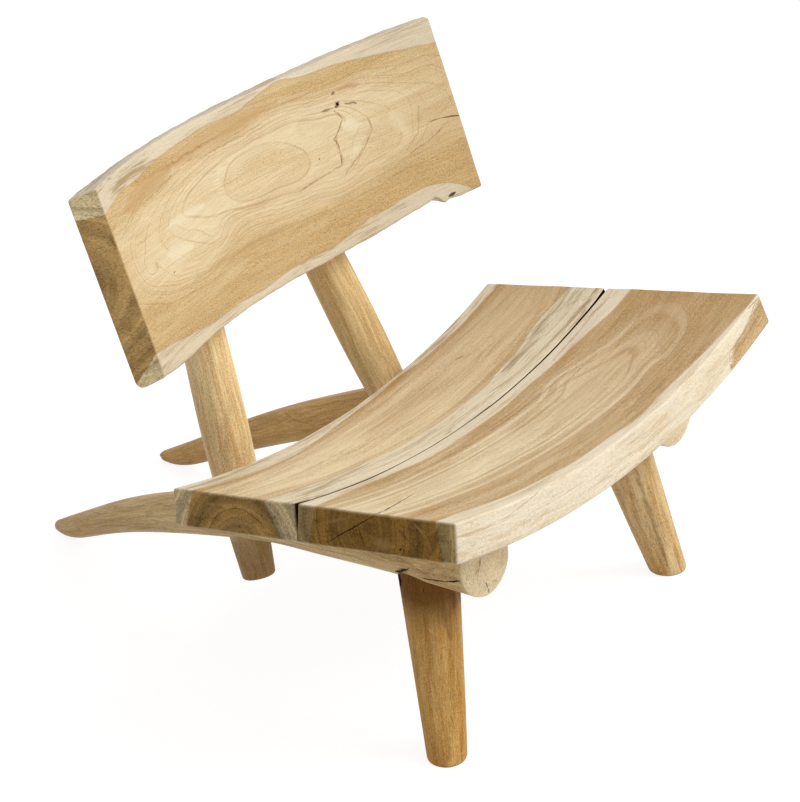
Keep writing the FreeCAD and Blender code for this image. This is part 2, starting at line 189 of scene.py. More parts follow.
def capped(rings: np.ndarray, count: int) -> np.ndarray:
    """Adds flat ends to a run of outlines by shrinking the end ones towards their middles.

    Args:
        rings: (stations, points, dims) outlines.
        count: how many shrunken outlines fill each end.

    Returns:
        The outlines with count more at each end.
    """
    shares = np.linspace(1, 0, count + 1)[1:] ** 0.9 + 0.004
    first = rings[0].mean(axis=0) + (rings[0] - rings[0].mean(axis=0)) * shares[::-1, None, None]
    last = rings[-1].mean(axis=0) + (rings[-1] - rings[-1].mean(axis=0)) * shares[:, None, None]
    return np.concatenate([first, rings, last], axis=0)


def capped_start(rings: np.ndarray, count: int) -> np.ndarray:
    """Fills the first outline with count smaller ones, down to its middle."""
    shares = np.linspace(0.02, 1, count + 1)[:-1]
    return np.concatenate([rings[0].mean(axis=0) + (rings[0] - rings[0].mean(axis=0)) * shares[:, None, None], rings])


def eased(radius: float, count: int) -> tuple[np.ndarray, np.ndarray, np.ndarray]:
    """Quarter round at the far end of a piece, from where it starts to the flat end.

    Args:
        radius: its radius.
        count: points over the quarter turn.

    Returns:
        The way left to the end, how far the outline is drawn in, and the share of the turn.
    """
    turn = np.linspace(0, math.pi / 2, count)
    return radius * (1 - np.sin(turn)), radius * (1 - np.cos(turn)), turn / turn[-1]


def unit(vectors: np.ndarray) -> np.ndarray:
    """The same directions at length one."""
    return vectors / np.linalg.norm(vectors, axis=-1, keepdims=True)


def full_turn(points: int) -> np.ndarray:
    """Angles of a ring's points."""
    return np.linspace(0, 2 * math.pi, points, endpoint=False)


def tube(centres: np.ndarray, headings: np.ndarray, radii: np.ndarray) -> tuple[np.ndarray, np.ndarray, np.ndarray]:
    """Rings round a path: centre + r (u cos w + v sin w), with u and v square to the heading.

    Args:
        centres: (stations, 3) path.
        headings: (stations, 3) way that each ring faces, at length one.
        radii: (stations, points) distance of each ring point from the path.

    Returns:
        Ring points (stations, points, 3), and the offsets of each along u, which leans to X, and v.
    """
    u = unit(X_AXIS - headings * headings[:, :1])
    v = np.cross(headings, u)
    angle = full_turn(radii.shape[1])
    along_u, along_v = radii * np.cos(angle), radii * np.sin(angle)
    return centres[:, None] + u[:, None] * along_u[..., None] + v[:, None] * along_v[..., None], along_u, along_v


def slope_over(points: np.ndarray, values: np.ndarray) -> np.ndarray:
    """How fast values change over a skin, per millimetre.

    With e and f the steps of the skin's two directions and a and b those of the values,
    the slope's square is (a^2 f.f - 2 a b e.f + b^2 e.e) / (e.e f.f - (e.f)^2).

    Args:
        points: (stations, points, 3) closed outlines.
        values: (stations, points) what is measured.

    Returns:
        The slope at each point, kept between 0.07 and 1.2.
    """
    e, a = np.gradient(points, axis=0), np.gradient(values, axis=0)
    f = (np.roll(points, -1, axis=1) - np.roll(points, 1, axis=1)) / 2
    b = (np.roll(values, -1, axis=1) - np.roll(values, 1, axis=1)) / 2
    ee, ff, ef = (e * e).sum(axis=-1), (f * f).sum(axis=-1), (e * f).sum(axis=-1)
    area = np.maximum(ee * ff - ef**2, 1e-6)
    return np.clip(np.sqrt(np.maximum(a**2 * ff - 2 * a * b * ef + b**2 * ee, 0) / area), 0.07, 1.2)


@dataclass(frozen=True)
class RingTrace:
    """A growth ring followed over a face: its distance from the heart, and its way."""

    distance: float
    way: Knots

    def spots(self, step: float = 9.0) -> np.ndarray:
        """Places along the way, about one step apart, as (spots, 2)."""
        corners = np.array(self.way, float)
        run = np.concatenate([[0.0], np.cumsum(np.linalg.norm(np.diff(corners, axis=0), axis=1))])
        places = np.linspace(0, run[-1], max(2, int(run[-1] / step) + 1))
        return np.stack([np.interp(places, run, corners[:, k]) for k in (0, 1)], axis=-1)


def bent_to(traces: tuple[RingTrace, ...], plain: Field, reach: float = 20.0) -> Field:
    """Correction that bends a plain field of rings so that it follows the traced ones.

    It is a sum of bells exp(-r^2 / 2 reach^2), one on each spot of the traces. Their
    heights solve (bells + 0.12) heights = traced distance - plain distance.

    Args:
        traces: rings followed over the face.
        plain: the plain field at (a, b).
        reach: width of the bells in millimetres.

    Returns:
        A function that gives the correction at (a, b).
    """
    spots = np.concatenate([trace.spots() for trace in traces])
    wanted = np.concatenate([np.full(len(trace.spots()), trace.distance) for trace in traces])

    def bells(a: np.ndarray, b: np.ndarray) -> np.ndarray:
        """Every bell's value at every place."""
        across = (a[..., None] - spots[:, 0]) ** 2 + (b[..., None] - spots[:, 1]) ** 2
        return np.exp(-across / (2 * reach**2))

    missing = wanted - plain(spots[:, 0], spots[:, 1])
    heights = np.linalg.solve(bells(spots[:, 0], spots[:, 1]) + 0.12 * np.eye(len(spots)), missing)
    return lambda a, b: bells(a, b) @ heights


def linked(name: str, data: bpy.types.ID) -> bpy.types.Object:
    """New object in the scene that shows a mesh, a light or a camera."""
    made = bpy.data.objects.new(name, data)
    bpy.context.scene.collection.objects.link(made)
    return made


@dataclass
class Timber:
    """Outlines of one piece of wood, with what each point knows of its place in the tree."""

    rings: np.ndarray
    grain: np.ndarray
    ring: np.ndarray
    heart: np.ndarray
    end: np.ndarray
    patina: np.ndarray

    def mesh(self, name: str) -> bpy.types.Object:
        """Closed skin over the outlines, ended by a point at the middle of each last one.

        Neighbouring outlines are joined by four-sided faces and the ends by fans. The
        signed volume of the skin tells which way its faces look, and they are turned
        outwards.

        Args:
            name: the piece's name.

        Returns:
            The new object, in the shared frame, with its attributes set.
        """
        stations, count, _ = self.rings.shape
        points = self.with_poles(self.rings) + CHAIR_TO_FRAME
        here = 1 + np.arange(stations - 1)[:, None] * count + np.arange(count)
        there = 1 + np.arange(stations - 1)[:, None] * count + (np.arange(count) + 1) % count
        quads = np.stack([here, there, there + count, here + count], axis=-1).reshape(-1, 4)
        rim = np.arange(count)
        onward = (rim + 1) % count
        far = 1 + (stations - 1) * count
        first_fan = np.stack([np.zeros(count, int), 1 + onward, 1 + rim], axis=-1)
        last_fan = np.stack([np.full(count, far + count), far + rim, far + onward], axis=-1)
        fans = np.concatenate([first_fan, last_fan])
        a, b, c, d = (points[quads[:, k]] for k in range(4))
        volume = np.einsum("ij,ij->i", a, np.cross(b, c) + np.cross(c, d)).sum()
        if volume < 0:
            quads, fans = quads[:, ::-1], fans[:, ::-1]
        data = bpy.data.meshes.new(name)
        data.from_pydata((points * METRES_PER_MM).tolist(), [], quads.tolist() + fans.tolist())
        data.polygons.foreach_set("use_smooth", np.ones(len(data.polygons), bool))
        vectors = data.attributes.new("grain", "FLOAT_VECTOR", "POINT")
        vectors.data.foreach_set("vector", self.with_poles(self.grain).astype(np.float32).ravel())
        numbers = {label: getattr(self, label) for label in PAINTED if label != "slope"}
        numbers["slope"] = slope_over(self.rings, self.ring)
        for label, number in numbers.items():
            values = data.attributes.new(label, "FLOAT", "POINT")
            values.data.foreach_set("value", self.with_poles(number[..., None]).astype(np.float32).ravel())
        data.update()
        return linked(name, data)

    @staticmethod
    def with_poles(values: np.ndarray) -> np.ndarray:
        """Values of every ring point in a list, with the end rings' means before and after."""
        flat = values.reshape(-1, values.shape[-1])
        return np.concatenate([values[:1].mean(axis=1), flat, values[-1:].mean(axis=1)])


# ---------------------------------------------------------------------------
# Finishes
# ---------------------------------------------------------------------------


def linear(colour: Rgb) -> tuple[float, float, float, float]:
    """A colour written as on a screen, 0 to 255, in the linear values that shaders use."""
    shares = [value / 255 for value in colour]
    plain = [s / 12.92 if s <= 0.04045 else ((s + 0.055) / 1.055) ** 2.4 for s in shares]
    return (*plain, 1.0)


def titled(key: str) -> str:
    """A socket's name from the word that stands for it in the code."""
    return key.replace("_", " ").title()


class Wire:
    """An output of a node. A sum written with wires lays out the nodes that work it out.

    Numbers go through Math nodes and vectors or colours through Vector Math nodes, and a
    vector times a number is scaled.
    """

    def __init__(self, graph: "Graph", socket: bpy.types.NodeSocket) -> None:
        """Keeps the output and the graph that it lies in."""
        self.graph, self.socket = graph, socket

    def __add__(self, other: object) -> "Wire":
        """This plus the other."""
        return self.graph.sum_of("ADD", self, other)

    def __sub__(self, other: object) -> "Wire":
        """This minus the other."""
        return self.graph.sum_of("SUBTRACT", self, other)

    def __rsub__(self, other: object) -> "Wire":
        """The other minus this."""
        return self.graph.sum_of("SUBTRACT", other, self)

    def __mul__(self, other: object) -> "Wire":
        """This times the other."""
        return self.graph.sum_of("MULTIPLY", self, other)

    def __truediv__(self, other: object) -> "Wire":
        """This over the other."""
        return self.graph.sum_of("DIVIDE", self, other)

    def __abs__(self) -> "Wire":
        """This number without its sign."""
        return self.graph.math("ABSOLUTE", self)


class Graph:
    """Lays out nodes in the tree of a material, a world or a shared group."""

    def __init__(self, tree: bpy.types.NodeTree) -> None:
        """Keeps the tree that nodes are added to."""
        self.tree = tree

    @classmethod
    def shared(
        cls, name: str, numbers: str, vectors: str = "grain", colours: str = "",
    ) -> tuple["Graph", SimpleNamespace]:
        """Starts a shared node group.

        Args:
            name: the group's name.
            numbers: the inputs that are numbers, with spaces between their names.
            vectors: the same for vectors.
            colours: the same for colours.

        Returns:
            The graph to build in, and the inputs as wires under their names.
        """
        graph = cls(bpy.data.node_groups.new(name, "ShaderNodeTree"))
        for kind, keys in (("VECTOR", vectors), ("VALUE", numbers), ("RGBA", colours)):
            for key in keys.split():
                graph.tree.interface.new_socket(name=titled(key), in_out="INPUT", socket_type=SOCKETS[kind])
        return graph, graph.wires(graph.node("NodeGroupInput").outputs)

    def finished(self, **outputs: Wire) -> bpy.types.NodeTree:
        """Ends a shared group with its named outputs and returns its tree."""
        for key, wire in outputs.items():
            self.tree.interface.new_socket(name=titled(key), in_out="OUTPUT", socket_type=SOCKETS[wire.socket.type])
        self.node("NodeGroupOutput", {titled(key): wire for key, wire in outputs.items()})
        return self.tree

    def wires(self, sockets: bpy.types.bpy_prop_collection) -> SimpleNamespace:
        """A node's outputs as wires, under their names in small letters."""
        return SimpleNamespace(**{s.name.lower().replace(" ", "_"): Wire(self, s) for s in sockets if s.name})

    def node(self, kind: str, inputs: dict[object, object] | None = None, **settings: object) -> bpy.types.Node:
        """New node of a kind, with its settings and what goes into its sockets."""
        made = self.tree.nodes.new(kind)
        for key, value in settings.items():
            setattr(made, key, value)
        for key, value in (inputs or {}).items():
            self.feed(made.inputs[key], value)
        return made

    def out(self, kind: str, inputs: dict[object, object], output: object = 0, **settings: object) -> Wire:
        """One output of a new node."""
        return Wire(self, self.node(kind, inputs, **settings).outputs[output])

    def feed(self, socket: bpy.types.NodeSocket, value: object) -> None:
        """Links a socket to a wire, or sets its own value."""
        if isinstance(value, Wire):
            self.tree.links.new(value.socket, socket)
        else:
            socket.default_value = value

    def sum_of(self, operation: str, a: object, b: object) -> Wire:
        """One step of a sum, on numbers or on vectors as its terms are."""
        broad = [isinstance(term, tuple) or (isinstance(term, Wire) and term.socket.type != "VALUE") for term in (a, b)]
        if not any(broad):
            return self.math(operation, a, b)
        if operation == "MULTIPLY" and not all(broad):
            return self.out("ShaderNodeVectorMath", {0: a, "Scale": b}, operation="SCALE")
        return self.vector(operation, a, b)

    def math(self, operation: str, a: object, b: object = 0.0, c: object = 0.0, clamp: bool = False) -> Wire:
        """Two or three numbers put together by a named operation."""
        return self.out("ShaderNodeMath", {0: a, 1: b, 2: c}, operation=operation, use_clamp=clamp)

    def vector(self, operation: str, a: object, b: object = (0.0, 0.0, 0.0)) -> Wire:
        """Two vectors put together by a named operation; a length or a dot comes out as a number."""
        output = "Value" if operation in ("LENGTH", "DOT_PRODUCT") else 0
        return self.out("ShaderNodeVectorMath", {0: a, 1: b}, output, operation=operation)

    def noise(self, place: Wire, scale: Rgb, detail: float, seed: float, output: object = 0) -> Wire:
        """Noise over a place whose three directions have their own scales."""
        shifted = place * scale + (seed, 1.7 * seed, 2.9 * seed)
        inputs = {"Vector": shifted, "Scale": 1.0, "Detail": detail}
        return self.out("ShaderNodeTexNoise", inputs, output, noise_dimensions="3D")

    def line_noise(self, place: Wire, scale: float, seed: float) -> Wire:
        """Noise along one number."""
        inputs = {"W": place + seed, "Scale": scale, "Detail": 1.0}
        return self.out("ShaderNodeTexNoise", inputs, noise_dimensions="1D")

    def step(self, value: Wire, low: object, high: object) -> Wire:
        """Smooth step from 0 at low to 1 at high."""
        inputs = dict(enumerate((value, low, high, 0.0, 1.0)))
        return self.out("ShaderNodeMapRange", inputs, interpolation_type="SMOOTHSTEP")

    def toned(self, value: Wire, stops: Knots) -> Wire:
        """Share read off given (distance, share) stops, the first at nought and the last at the far end."""
        reach = stops[-1][0]
        made = self.node("ShaderNodeValToRGB", {0: value / reach})
        band = made.color_ramp.elements
        for number, (place, share) in enumerate(stops):
            at_end = number in (0, len(stops) - 1)
            stop = band[0 if number == 0 else len(band) - 1] if at_end else band.new(place / reach)
            stop.color = (share, share, share, 1.0)
        return Wire(self, made.outputs[0])

    def mix(self, share: object, a: object, b: object) -> Wire:
        """Two colours mixed."""
        return self.out("ShaderNodeMix", {0: share, 6: a, 7: b}, 2, data_type="RGBA", blend_type="MIX")

    def laid_over(self, shade: Wire, colour: Rgb, mask: Wire) -> Wire:
        """Colour laid over a shade where a mask says: (colour - shade) * mask + shade."""
        inputs = {0: self.vector("SUBTRACT", colour, shade), 1: mask, 2: shade}
        return self.out("ShaderNodeVectorMath", inputs, operation="MULTIPLY_ADD")

    def group(self, tree: bpy.types.NodeTree, **inputs: object) -> SimpleNamespace:
        """Places a shared group with wires or values for its inputs; returns its outputs as wires."""
        made = self.node("ShaderNodeGroup", node_tree=tree)
        for key, value in inputs.items():
            self.feed(made.inputs[titled(key)], value)
        return self.wires(made.outputs)

    def seen_ray(self) -> Wire:
        """One for rays from the camera, off a gloss or through glass, else nought."""
        path = self.wires(self.node("ShaderNodeLightPath").outputs)
        seen = self.math("MAXIMUM", path.is_camera_ray, path.is_glossy_ray)
        return self.math("MAXIMUM", seen, path.is_transmission_ray)


def centred(value: Wire, size: object) -> Wire:
    """Noise moved from 0..1 to round nought, times a size."""
    return (value - 0.5) * size


def new_material(name: str) -> tuple[bpy.types.Material, Graph]:
    """A new material and its graph, still empty."""
    made = bpy.data.materials.new(name)
    made.use_nodes = True
    made.node_tree.nodes.clear()
    return made, Graph(made.node_tree)


class TeakEffects:
    """The node groups that all the wood finishes share, each built once."""

    def __init__(self) -> None:
        """Builds every group."""
        self.rings = self.growth_rings()
        self.bold = self.bold_ring()
        self.fibres = self.long_fibres()
        self.heartwood = self.heartwood_edge()
        self.colour = self.teak_colour()
        self.end_grain = self.sawn_end()
        self.seam_shade = self.seam_dirt()
        self.stroke = self.tapered_mark()

    @staticmethod
    def growth_rings() -> bpy.types.NodeTree:
        """Yearly rings, drawn at the same width whether the wood is cut flat or square.

        The distance from the tree's heart is shaken by noise, and over the spacing it
        counts the years. What is left of a year, divided by how fast the distance changes
        over the face, is the way to the next ring in millimetres.
        """
        g, i = Graph.shared("Teak growth rings", "ring slope spacing wander")
        slow = g.noise(i.grain, (0.006, 0.02, 0.02), 2.0, 3.1)
        middling = g.noise(i.grain, (0.03, 0.12, 0.12), 2.0, 8.7)
        fine = g.noise(i.grain, (0.09, 0.6, 0.6), 1.0, 2.7)
        sway = centred(slow, i.wander) + centred(middling, 3.4) + centred(fine, 1.2)
        shaken = sway * i.slope + i.ring
        count = shaken / i.spacing
        count = count + centred(g.line_noise(count, 0.9, 11.0), 1.5)
        own = g.out("ShaderNodeTexWhiteNoise", {"W": g.math("FLOOR", count)}, "Value", noise_dimensions="1D")
        away = (1.0 - g.math("FRACT", count)) * i.spacing / i.slope
        late = (1.0 - g.step(away, 0.4, 1.7)) * 0.6 + (1.0 - g.step(away, 0.5, 8.0)) * 0.4
        gaps = g.step(g.noise(i.grain, (0.012, 0.06, 0.06), 2.0, 5.2), 0.36, 0.62)
        line = late * ((own * 0.85 + 0.15) * (gaps * 0.6 + 0.4))
        return g.finished(shaken=shaken, line=line, tone=g.line_noise(count, 0.42, 4.0), gaps=gaps)

    @staticmethod
    def bold_ring() -> bpy.types.NodeTree:
        """One dark ring at a given distance from the tree's heart, with weak stretches."""
        g, i = Graph.shared("Bold ring", "shaken slope gaps at width", vectors="")
        away = abs(i.shaken - i.at) / i.slope
        return g.finished(mask=(1.0 - g.step(away, i.width * 0.3, i.width)) * (i.gaps * 0.6 + 0.4))

    @staticmethod
    def long_fibres() -> bpy.types.NodeTree:
        """Streaks, bands, hair lines, pores, clouds and fine sand, drawn out along the grain.

        A hair line is where slow noise crosses its middle value. Pores are the peaks of
        fast noise, and more of them show where the wood is tan.
        """
        g, i = Graph.shared("Teak fibres", "tan")
        half = (0.5, 0.5, 0.5)
        bend = g.noise(i.grain, (0.008, 0.02, 0.02), 1.0, 5.5, "Color")
        bent = i.grain + (bend - half) * (0.0, 18.0, 18.0)
        cloud = g.noise(bent, (0.006, 0.045, 0.045), 3.0, 2.2)
        hairs = 1.0 - g.step(abs(g.noise(bent, (0.007, 0.2, 0.2), 1.0, 6.1) - 0.5), 0.006, 0.034)
        kept = g.step(g.noise(bent, (0.022, 0.13, 0.13), 1.0, 4.4), 0.44, 0.6)
        limit = i.tan * -0.12 + 0.7 - centred(cloud, 0.25)
        pores = g.noise(bent, (0.3, 1.25, 1.25), 1.0, 9.4)
        return g.finished(
            streak=g.noise(bent, (0.016, 0.55, 0.55), 3.0, 1.3),
            hairs=hairs * kept,
            specks=g.step(pores, limit, limit + 0.08),
            cloud=cloud,
            band=g.noise(bent, (0.008, 0.13, 0.13), 2.0, 12.7),
            sand=g.noise(i.grain, (0.5, 0.85, 0.85), 2.0, 7.9),
            shake=g.noise(i.grain, (0.09, 0.16, 0.16), 3.0, 3.3, "Color") - half,
        )

    @staticmethod
    def heartwood_edge() -> bpy.types.NodeTree:
        """One in the heartwood, nought in the pale sapwood, and the thin line between them."""
        g, i = Graph.shared("Heartwood edge", "heart fray softness")
        depth = i.heart + centred(g.noise(i.grain, (0.015, 0.3, 0.3), 3.0, 6.6), i.fray)
        return g.finished(mask=g.step(depth, i.softness * -1.0, i.softness), border=1.0 - g.step(abs(depth), 0.2, 1.3))

    @staticmethod
    def teak_colour() -> bpy.types.NodeTree:
        """Colour of planed teak from its heartwood and sapwood and all that runs through them."""
        masks = f"tone line mask border patina {' '.join(FIBRE_MASKS)}"
        g, i = Graph.shared("Teak colour", f"{masks} {' '.join(STRENGTHS)}", "", " ".join(WOOD_COLOURS))
        band = centred(i.band, i.band_strength)
        depth = g.math("ADD", i.tone, band + centred(i.cloud, 1.1), clamp=True)
        drawn = i.line * i.line_strength
        # The patina share mixes in the aged tone; on the legs and posts this is painted shade below the rail.
        heart = g.mix(drawn, g.mix(i.patina, g.mix(depth, i.pale, i.deep), i.aged), i.late)
        grey = g.step(i.streak + band + centred(i.cloud, 0.7), 0.44, 0.84)
        sap = g.mix(g.math("MULTIPLY_ADD", drawn, 0.5, grey, clamp=True), i.sap, i.sap_deep)
        wood = g.mix(i.border * i.border_strength, g.mix(i.mask, sap, heart), i.late)
        wood = g.mix(i.hairs * i.hair_strength, wood, i.late)
        sand = centred(i.sand, i.sand_strength) * (depth * 0.8 + 0.6) * (i.mask * 0.6 + 0.4)
        wood = wood * (centred(i.streak, i.streak_strength) + sand + 1.0)
        specks = i.specks * (i.mask * 0.75 + 0.25)
        return g.finished(color=g.mix(specks * i.speck_strength, wood, i.pore))

    @staticmethod
    def sawn_end() -> bpy.types.NodeTree:
        """Sawn ends: their own colours, pale ring arcs, dark open pores and soft blotches."""
        numbers = "end mask border line tone arc_strength"
        g, i = Graph.shared("Sawn end", numbers, colours="color heart_end sap_end arc")
        fine = centred(g.noise(i.grain, (0.2, 0.75, 0.3), 3.0, 4.9), 1.1) + 1.0
        raw = g.mix(i.mask, i.sap_end, i.heart_end) * (centred(i.tone, 2.1) * i.arc_strength + fine)
        raw = g.mix(i.line * i.arc_strength, raw, i.arc)
        blotch = g.step(g.noise(i.grain, (0.02, 0.04, 0.07), 2.0, 1.9), 0.46, 0.78)
        dots = g.step(g.noise(i.grain, (0.02, 0.7, 0.7), 2.0, 7.7), 0.48, 0.7)
        amount = (dots * 0.75 + blotch * 0.5) * (i.arc_strength * 0.8 + 0.2)
        amount = g.math("MULTIPLY_ADD", i.border, 0.3, amount, clamp=True)
        raw = g.mix(amount, raw, raw * (0.42, 0.36, 0.28))
        return g.finished(color=g.mix(i.end, i.color, raw), dots=dots * i.end)

    @staticmethod
    def seam_dirt() -> bpy.types.NodeTree:
        """Painted shade on the two walls of the open vee between the seat's planks."""
        g, i = Graph.shared("Seam dirt", "end seam floor")
        place = g.wires(g.node("ShaderNodeSeparateXYZ", {0: i.grain}).outputs)
        near = 1.0 - g.step(abs(place.y - i.seam), 6.0, 8.0)
        deep = 1.0 - g.step(place.z, -1.3, -0.4)
        above = g.step(place.z, i.floor, i.floor + 2.0)
        return g.finished(mask=near * deep * above * (1.0 - i.end))

    @staticmethod
    def tapered_mark() -> bpy.types.NodeTree:
        """Mask of a crack, streak or stain: near a line from start to finish, thin at both ends.

        The nearest point of the line is found by projection, and the width there falls
        with the taper times the square of its distance from the line's middle.
        """
        g, i = Graph.shared("Tapered mark", "width fray softness taper", "grain shake start finish")
        run, out = i.finish - i.start, i.grain + i.shake * i.fray - i.start
        share = g.math("DIVIDE", g.vector("DOT_PRODUCT", out, run), g.vector("DOT_PRODUCT", run, run), clamp=True)
        away = g.vector("LENGTH", out - run * share)
        middle = share * 2.0 - 1.0
        width = i.width * (1.15 - middle * middle * i.taper)
        return g.finished(mask=1.0 - g.step(away, width * (1.0 - i.softness), width))


@dataclass(frozen=True)
class Mark:
    """One crack, streak, stain or knot on a piece, in its grain's millimetres."""

    start: Rgb
    finish: Rgb
    width: float
    colour: Rgb
    strength: float = 0.9
    fray: float = 3.0
    softness: float = 0.6
    depth: float = 0.0
    taper: float = 1.0


def marks_along(path: tuple[Rgb, ...], width: float, colour: Rgb, strength: float) -> tuple[Mark, ...]:
    """One thin mark from each point of a path to the next."""
    return tuple(Mark(a, b, width, colour, strength, 4.5, 0.8, taper=0.5) for a, b in zip(path, path[1:]))


def marks_on(place: Callable[[float, float], Rgb], *rows: tuple) -> tuple[Mark, ...]:
    """Marks on one face of a piece.

    Args:
        place: gives the grain's millimetres of a point of the face.
        rows: start, finish and then a mark's other fields, in their order.

    Returns:
        A mark for each row.
    """
    return tuple(Mark(place(*start), place(*finish), *rest) for start, finish, *rest in rows)


def broad_face(along: float, across: float) -> Rgb:
    """Point on a plank's top or front face."""
    return (along, across, 0.0)


def seat_end(across: float, height: float) -> Rgb:
    """Point on the seat's right-hand sawn end."""
    return (-SEAT_HALF_ARC, across, height)


def seat_front(along: float, height: float) -> Rgb:
    """Point on the seat's front edge."""
    return (along, 0.0, height)


@dataclass(frozen=True)
class BoldRing:
    """A ring that shows as a dark line: its distance from the tree's heart, width and strength."""

    at: float
    width: float
    strength: float


@dataclass(frozen=True)
class TeakFinish:
    """Planed, oiled teak as one piece of the chair shows it. Colours are as on a screen.

    The tones are (distance from the tree's heart, share of the deep colour) pairs.
    """

    name: str
    pale: Rgb
    deep: Rgb
    late: Rgb
    aged: Rgb
    sap: Rgb = (226, 212, 184)
    sap_deep: Rgb = (184, 162, 126)
    pore: Rgb = (122, 88, 50)
    heart_end: Rgb = (172, 137, 81)
    sap_end: Rgb = (160, 138, 98)
    arc: Rgb = (206, 178, 128)
    tones: Knots = ((0.0, 0.3), (160.0, 0.6))
    bold: tuple[BoldRing, ...] = ()
    spacing: float = 7.0
    wander: float = 4.0
    line_strength: float = 0.4
    streak_strength: float = 0.55
    band_strength: float = 0.7
    hair_strength: float = 0.2
    speck_strength: float = 0.45
    sand_strength: float = 1.3
    border_strength: float = 0.35
    arc_strength: float = 0.7
    heart_fray: float = 4.0
    heart_softness: float = 0.9
    roughness: float = 0.55
    specular: float = 0.3
    relief: float = 0.4
    source: GrainSource = GrainSource.PIECE
    marks: tuple[Mark, ...] = ()
    seam: float | None = None

    def material(self, effects: TeakEffects) -> bpy.types.Material:
        """Builds the material.

        Args:
            effects: the shared node groups.

        Returns:
            A material whose colour, roughness and relief come from the groups.
        """
        made, g = new_material(self.name)
        grain, ring, slope, heart, end, patina = self.places(g)
        rings = g.group(effects.rings, grain=grain, ring=ring, slope=slope, spacing=self.spacing, wander=self.wander)
        tone = g.math("ADD", g.toned(rings.shaken, self.tones), centred(rings.tone, 0.3), clamp=True)
        fibres = g.group(effects.fibres, grain=grain, tan=tone)
        edge = g.group(effects.heartwood, grain=grain, heart=heart, fray=self.heart_fray, softness=self.heart_softness)
        shade = g.group(
            effects.colour, tone=tone, line=rings.line, mask=edge.mask, border=edge.border, patina=patina,
            **{key: getattr(fibres, key) for key in FIBRE_MASKS},
            **{key: getattr(self, key) for key in STRENGTHS},
            **{key: linear(getattr(self, key)) for key in WOOD_COLOURS},
        ).color
        for bold in self.bold:
            drawn = g.group(
                effects.bold, shaken=rings.shaken, slope=slope, gaps=rings.gaps, at=bold.at, width=bold.width,
            )
            shade = g.mix(drawn.mask * bold.strength * edge.mask, shade, linear(self.late))
        sawn = g.group(
            effects.end_grain, grain=grain, color=shade, end=end, mask=edge.mask, border=edge.border, line=rings.line,
            tone=rings.tone, arc_strength=self.arc_strength,
            **{key: linear(getattr(self, key)) for key in ("heart_end", "sap_end", "arc")},
        )
        height = centred(fibres.streak, 0.5) - fibres.specks * 0.35 - sawn.dots * 0.4 - fibres.hairs * 0.3
        shade, height = self.marked(g, effects, grain, fibres.shake, sawn.color, height)
        # Painted shade: darkens the walls of the vee between the seat's planks.
        if self.seam is not None:
            seam_shade = g.group(effects.seam_shade, grain=grain, end=end, seam=self.seam, floor=1.0 - DishedSeat.thickness)
            shade = g.mix(seam_shade.mask, shade, linear(DARK_GAP))
        lit = g.step(g.out("ShaderNodeRGBToBW", {0: shade}), 0.02, 0.12)
        gloss = centred(fibres.streak, -0.25) + self.roughness
        shader = g.node("ShaderNodeBsdfPrincipled", {
            "Base Color": shade,
            "Roughness": g.math("ADD", gloss, end * 0.15, clamp=True),
            "Specular IOR Level": lit * (end * (-0.6 * self.specular) + self.specular),
            "Normal": g.out("ShaderNodeBump", {"Strength": self.relief, "Distance": METRES_PER_MM, "Height": height}),
        })
        g.node("ShaderNodeOutputMaterial", {"Surface": Wire(g, shader.outputs[0])})
        return made

    def marked(
        self, g: Graph, effects: TeakEffects, grain: Wire, shake: Wire, shade: Wire, height: Wire,
    ) -> tuple[Wire, Wire]:
        """Lays the finish's marks over its wood.

        Args:
            g: the material's graph.
            effects: the shared node groups.
            grain: the place in the wood.
            shake: noise that frays the marks.
            shade: colour of the wood.
            height: relief of the wood.

        Returns:
            Colour and relief with the marks in them.
        """
        for mark in self.marks:
            fields = {key: getattr(mark, key) for key in ("start", "finish", "width", "fray", "softness", "taper")}
            mask = g.group(effects.stroke, grain=grain, shake=shake, **fields).mask
            shade = g.laid_over(shade, linear(mark.colour)[:3], mask * mark.strength)
            if mark.depth:
                height = height - mask * mark.depth
        return shade, height

    def places(self, g: Graph) -> tuple[object, ...]:
        """Wires or numbers for grain, ring, slope, heart, end and patina.

        Args:
            g: the material's graph.

        Returns:
            Those of the piece's attributes, or for a small plug its place in millimetres.
        """
        if self.source is GrainSource.PIECE:
            grain = g.out("ShaderNodeAttribute", {}, "Vector", attribute_name="grain")
            return (grain, *(g.out("ShaderNodeAttribute", {}, "Fac", attribute_name=key) for key in PAINTED))
        grain = millimetres(g)
        return grain, g.vector("LENGTH", grain * (0.4, 0.9, 0.2)), 0.7, 20.0, 0.4, 0.3


def millimetres(g: Graph) -> Wire:
    """Object coordinates in millimetres."""
    return g.out("ShaderNodeTexCoord", {}, "Object") * (1 / METRES_PER_MM)


@dataclass(frozen=True)
class SteelFinish:
    """Zinc-bright screw steel with turned scratches."""

    name: str
    colour: Rgb = (176, 176, 172)
    roughness: float = 0.34

    def material(self, effects: TeakEffects) -> bpy.types.Material:
        """Builds the material; the fibres' streaks serve as fine turning lines."""
        made, g = new_material(self.name)
        lines = g.group(effects.fibres, grain=millimetres(g), tan=0.2)
        shader = g.node("ShaderNodeBsdfPrincipled", {
            "Metallic": 1.0,
            "Base Color": g.mix(lines.cloud, linear(self.colour), linear(tuple(v * 0.8 for v in self.colour))),
            "Roughness": centred(lines.streak, 0.2) + self.roughness,
        })
        g.node("ShaderNodeOutputMaterial", {"Surface": Wire(g, shader.outputs[0])})
        return made


BROWN_CRACK: Rgb = (84, 56, 30)
# Colour of cracks and holes, and of the painted shade on the walls of the vee between the seat's planks.
DARK_GAP: Rgb = (40, 18, 4)
BARK_BROWN: Rgb = (124, 84, 46)

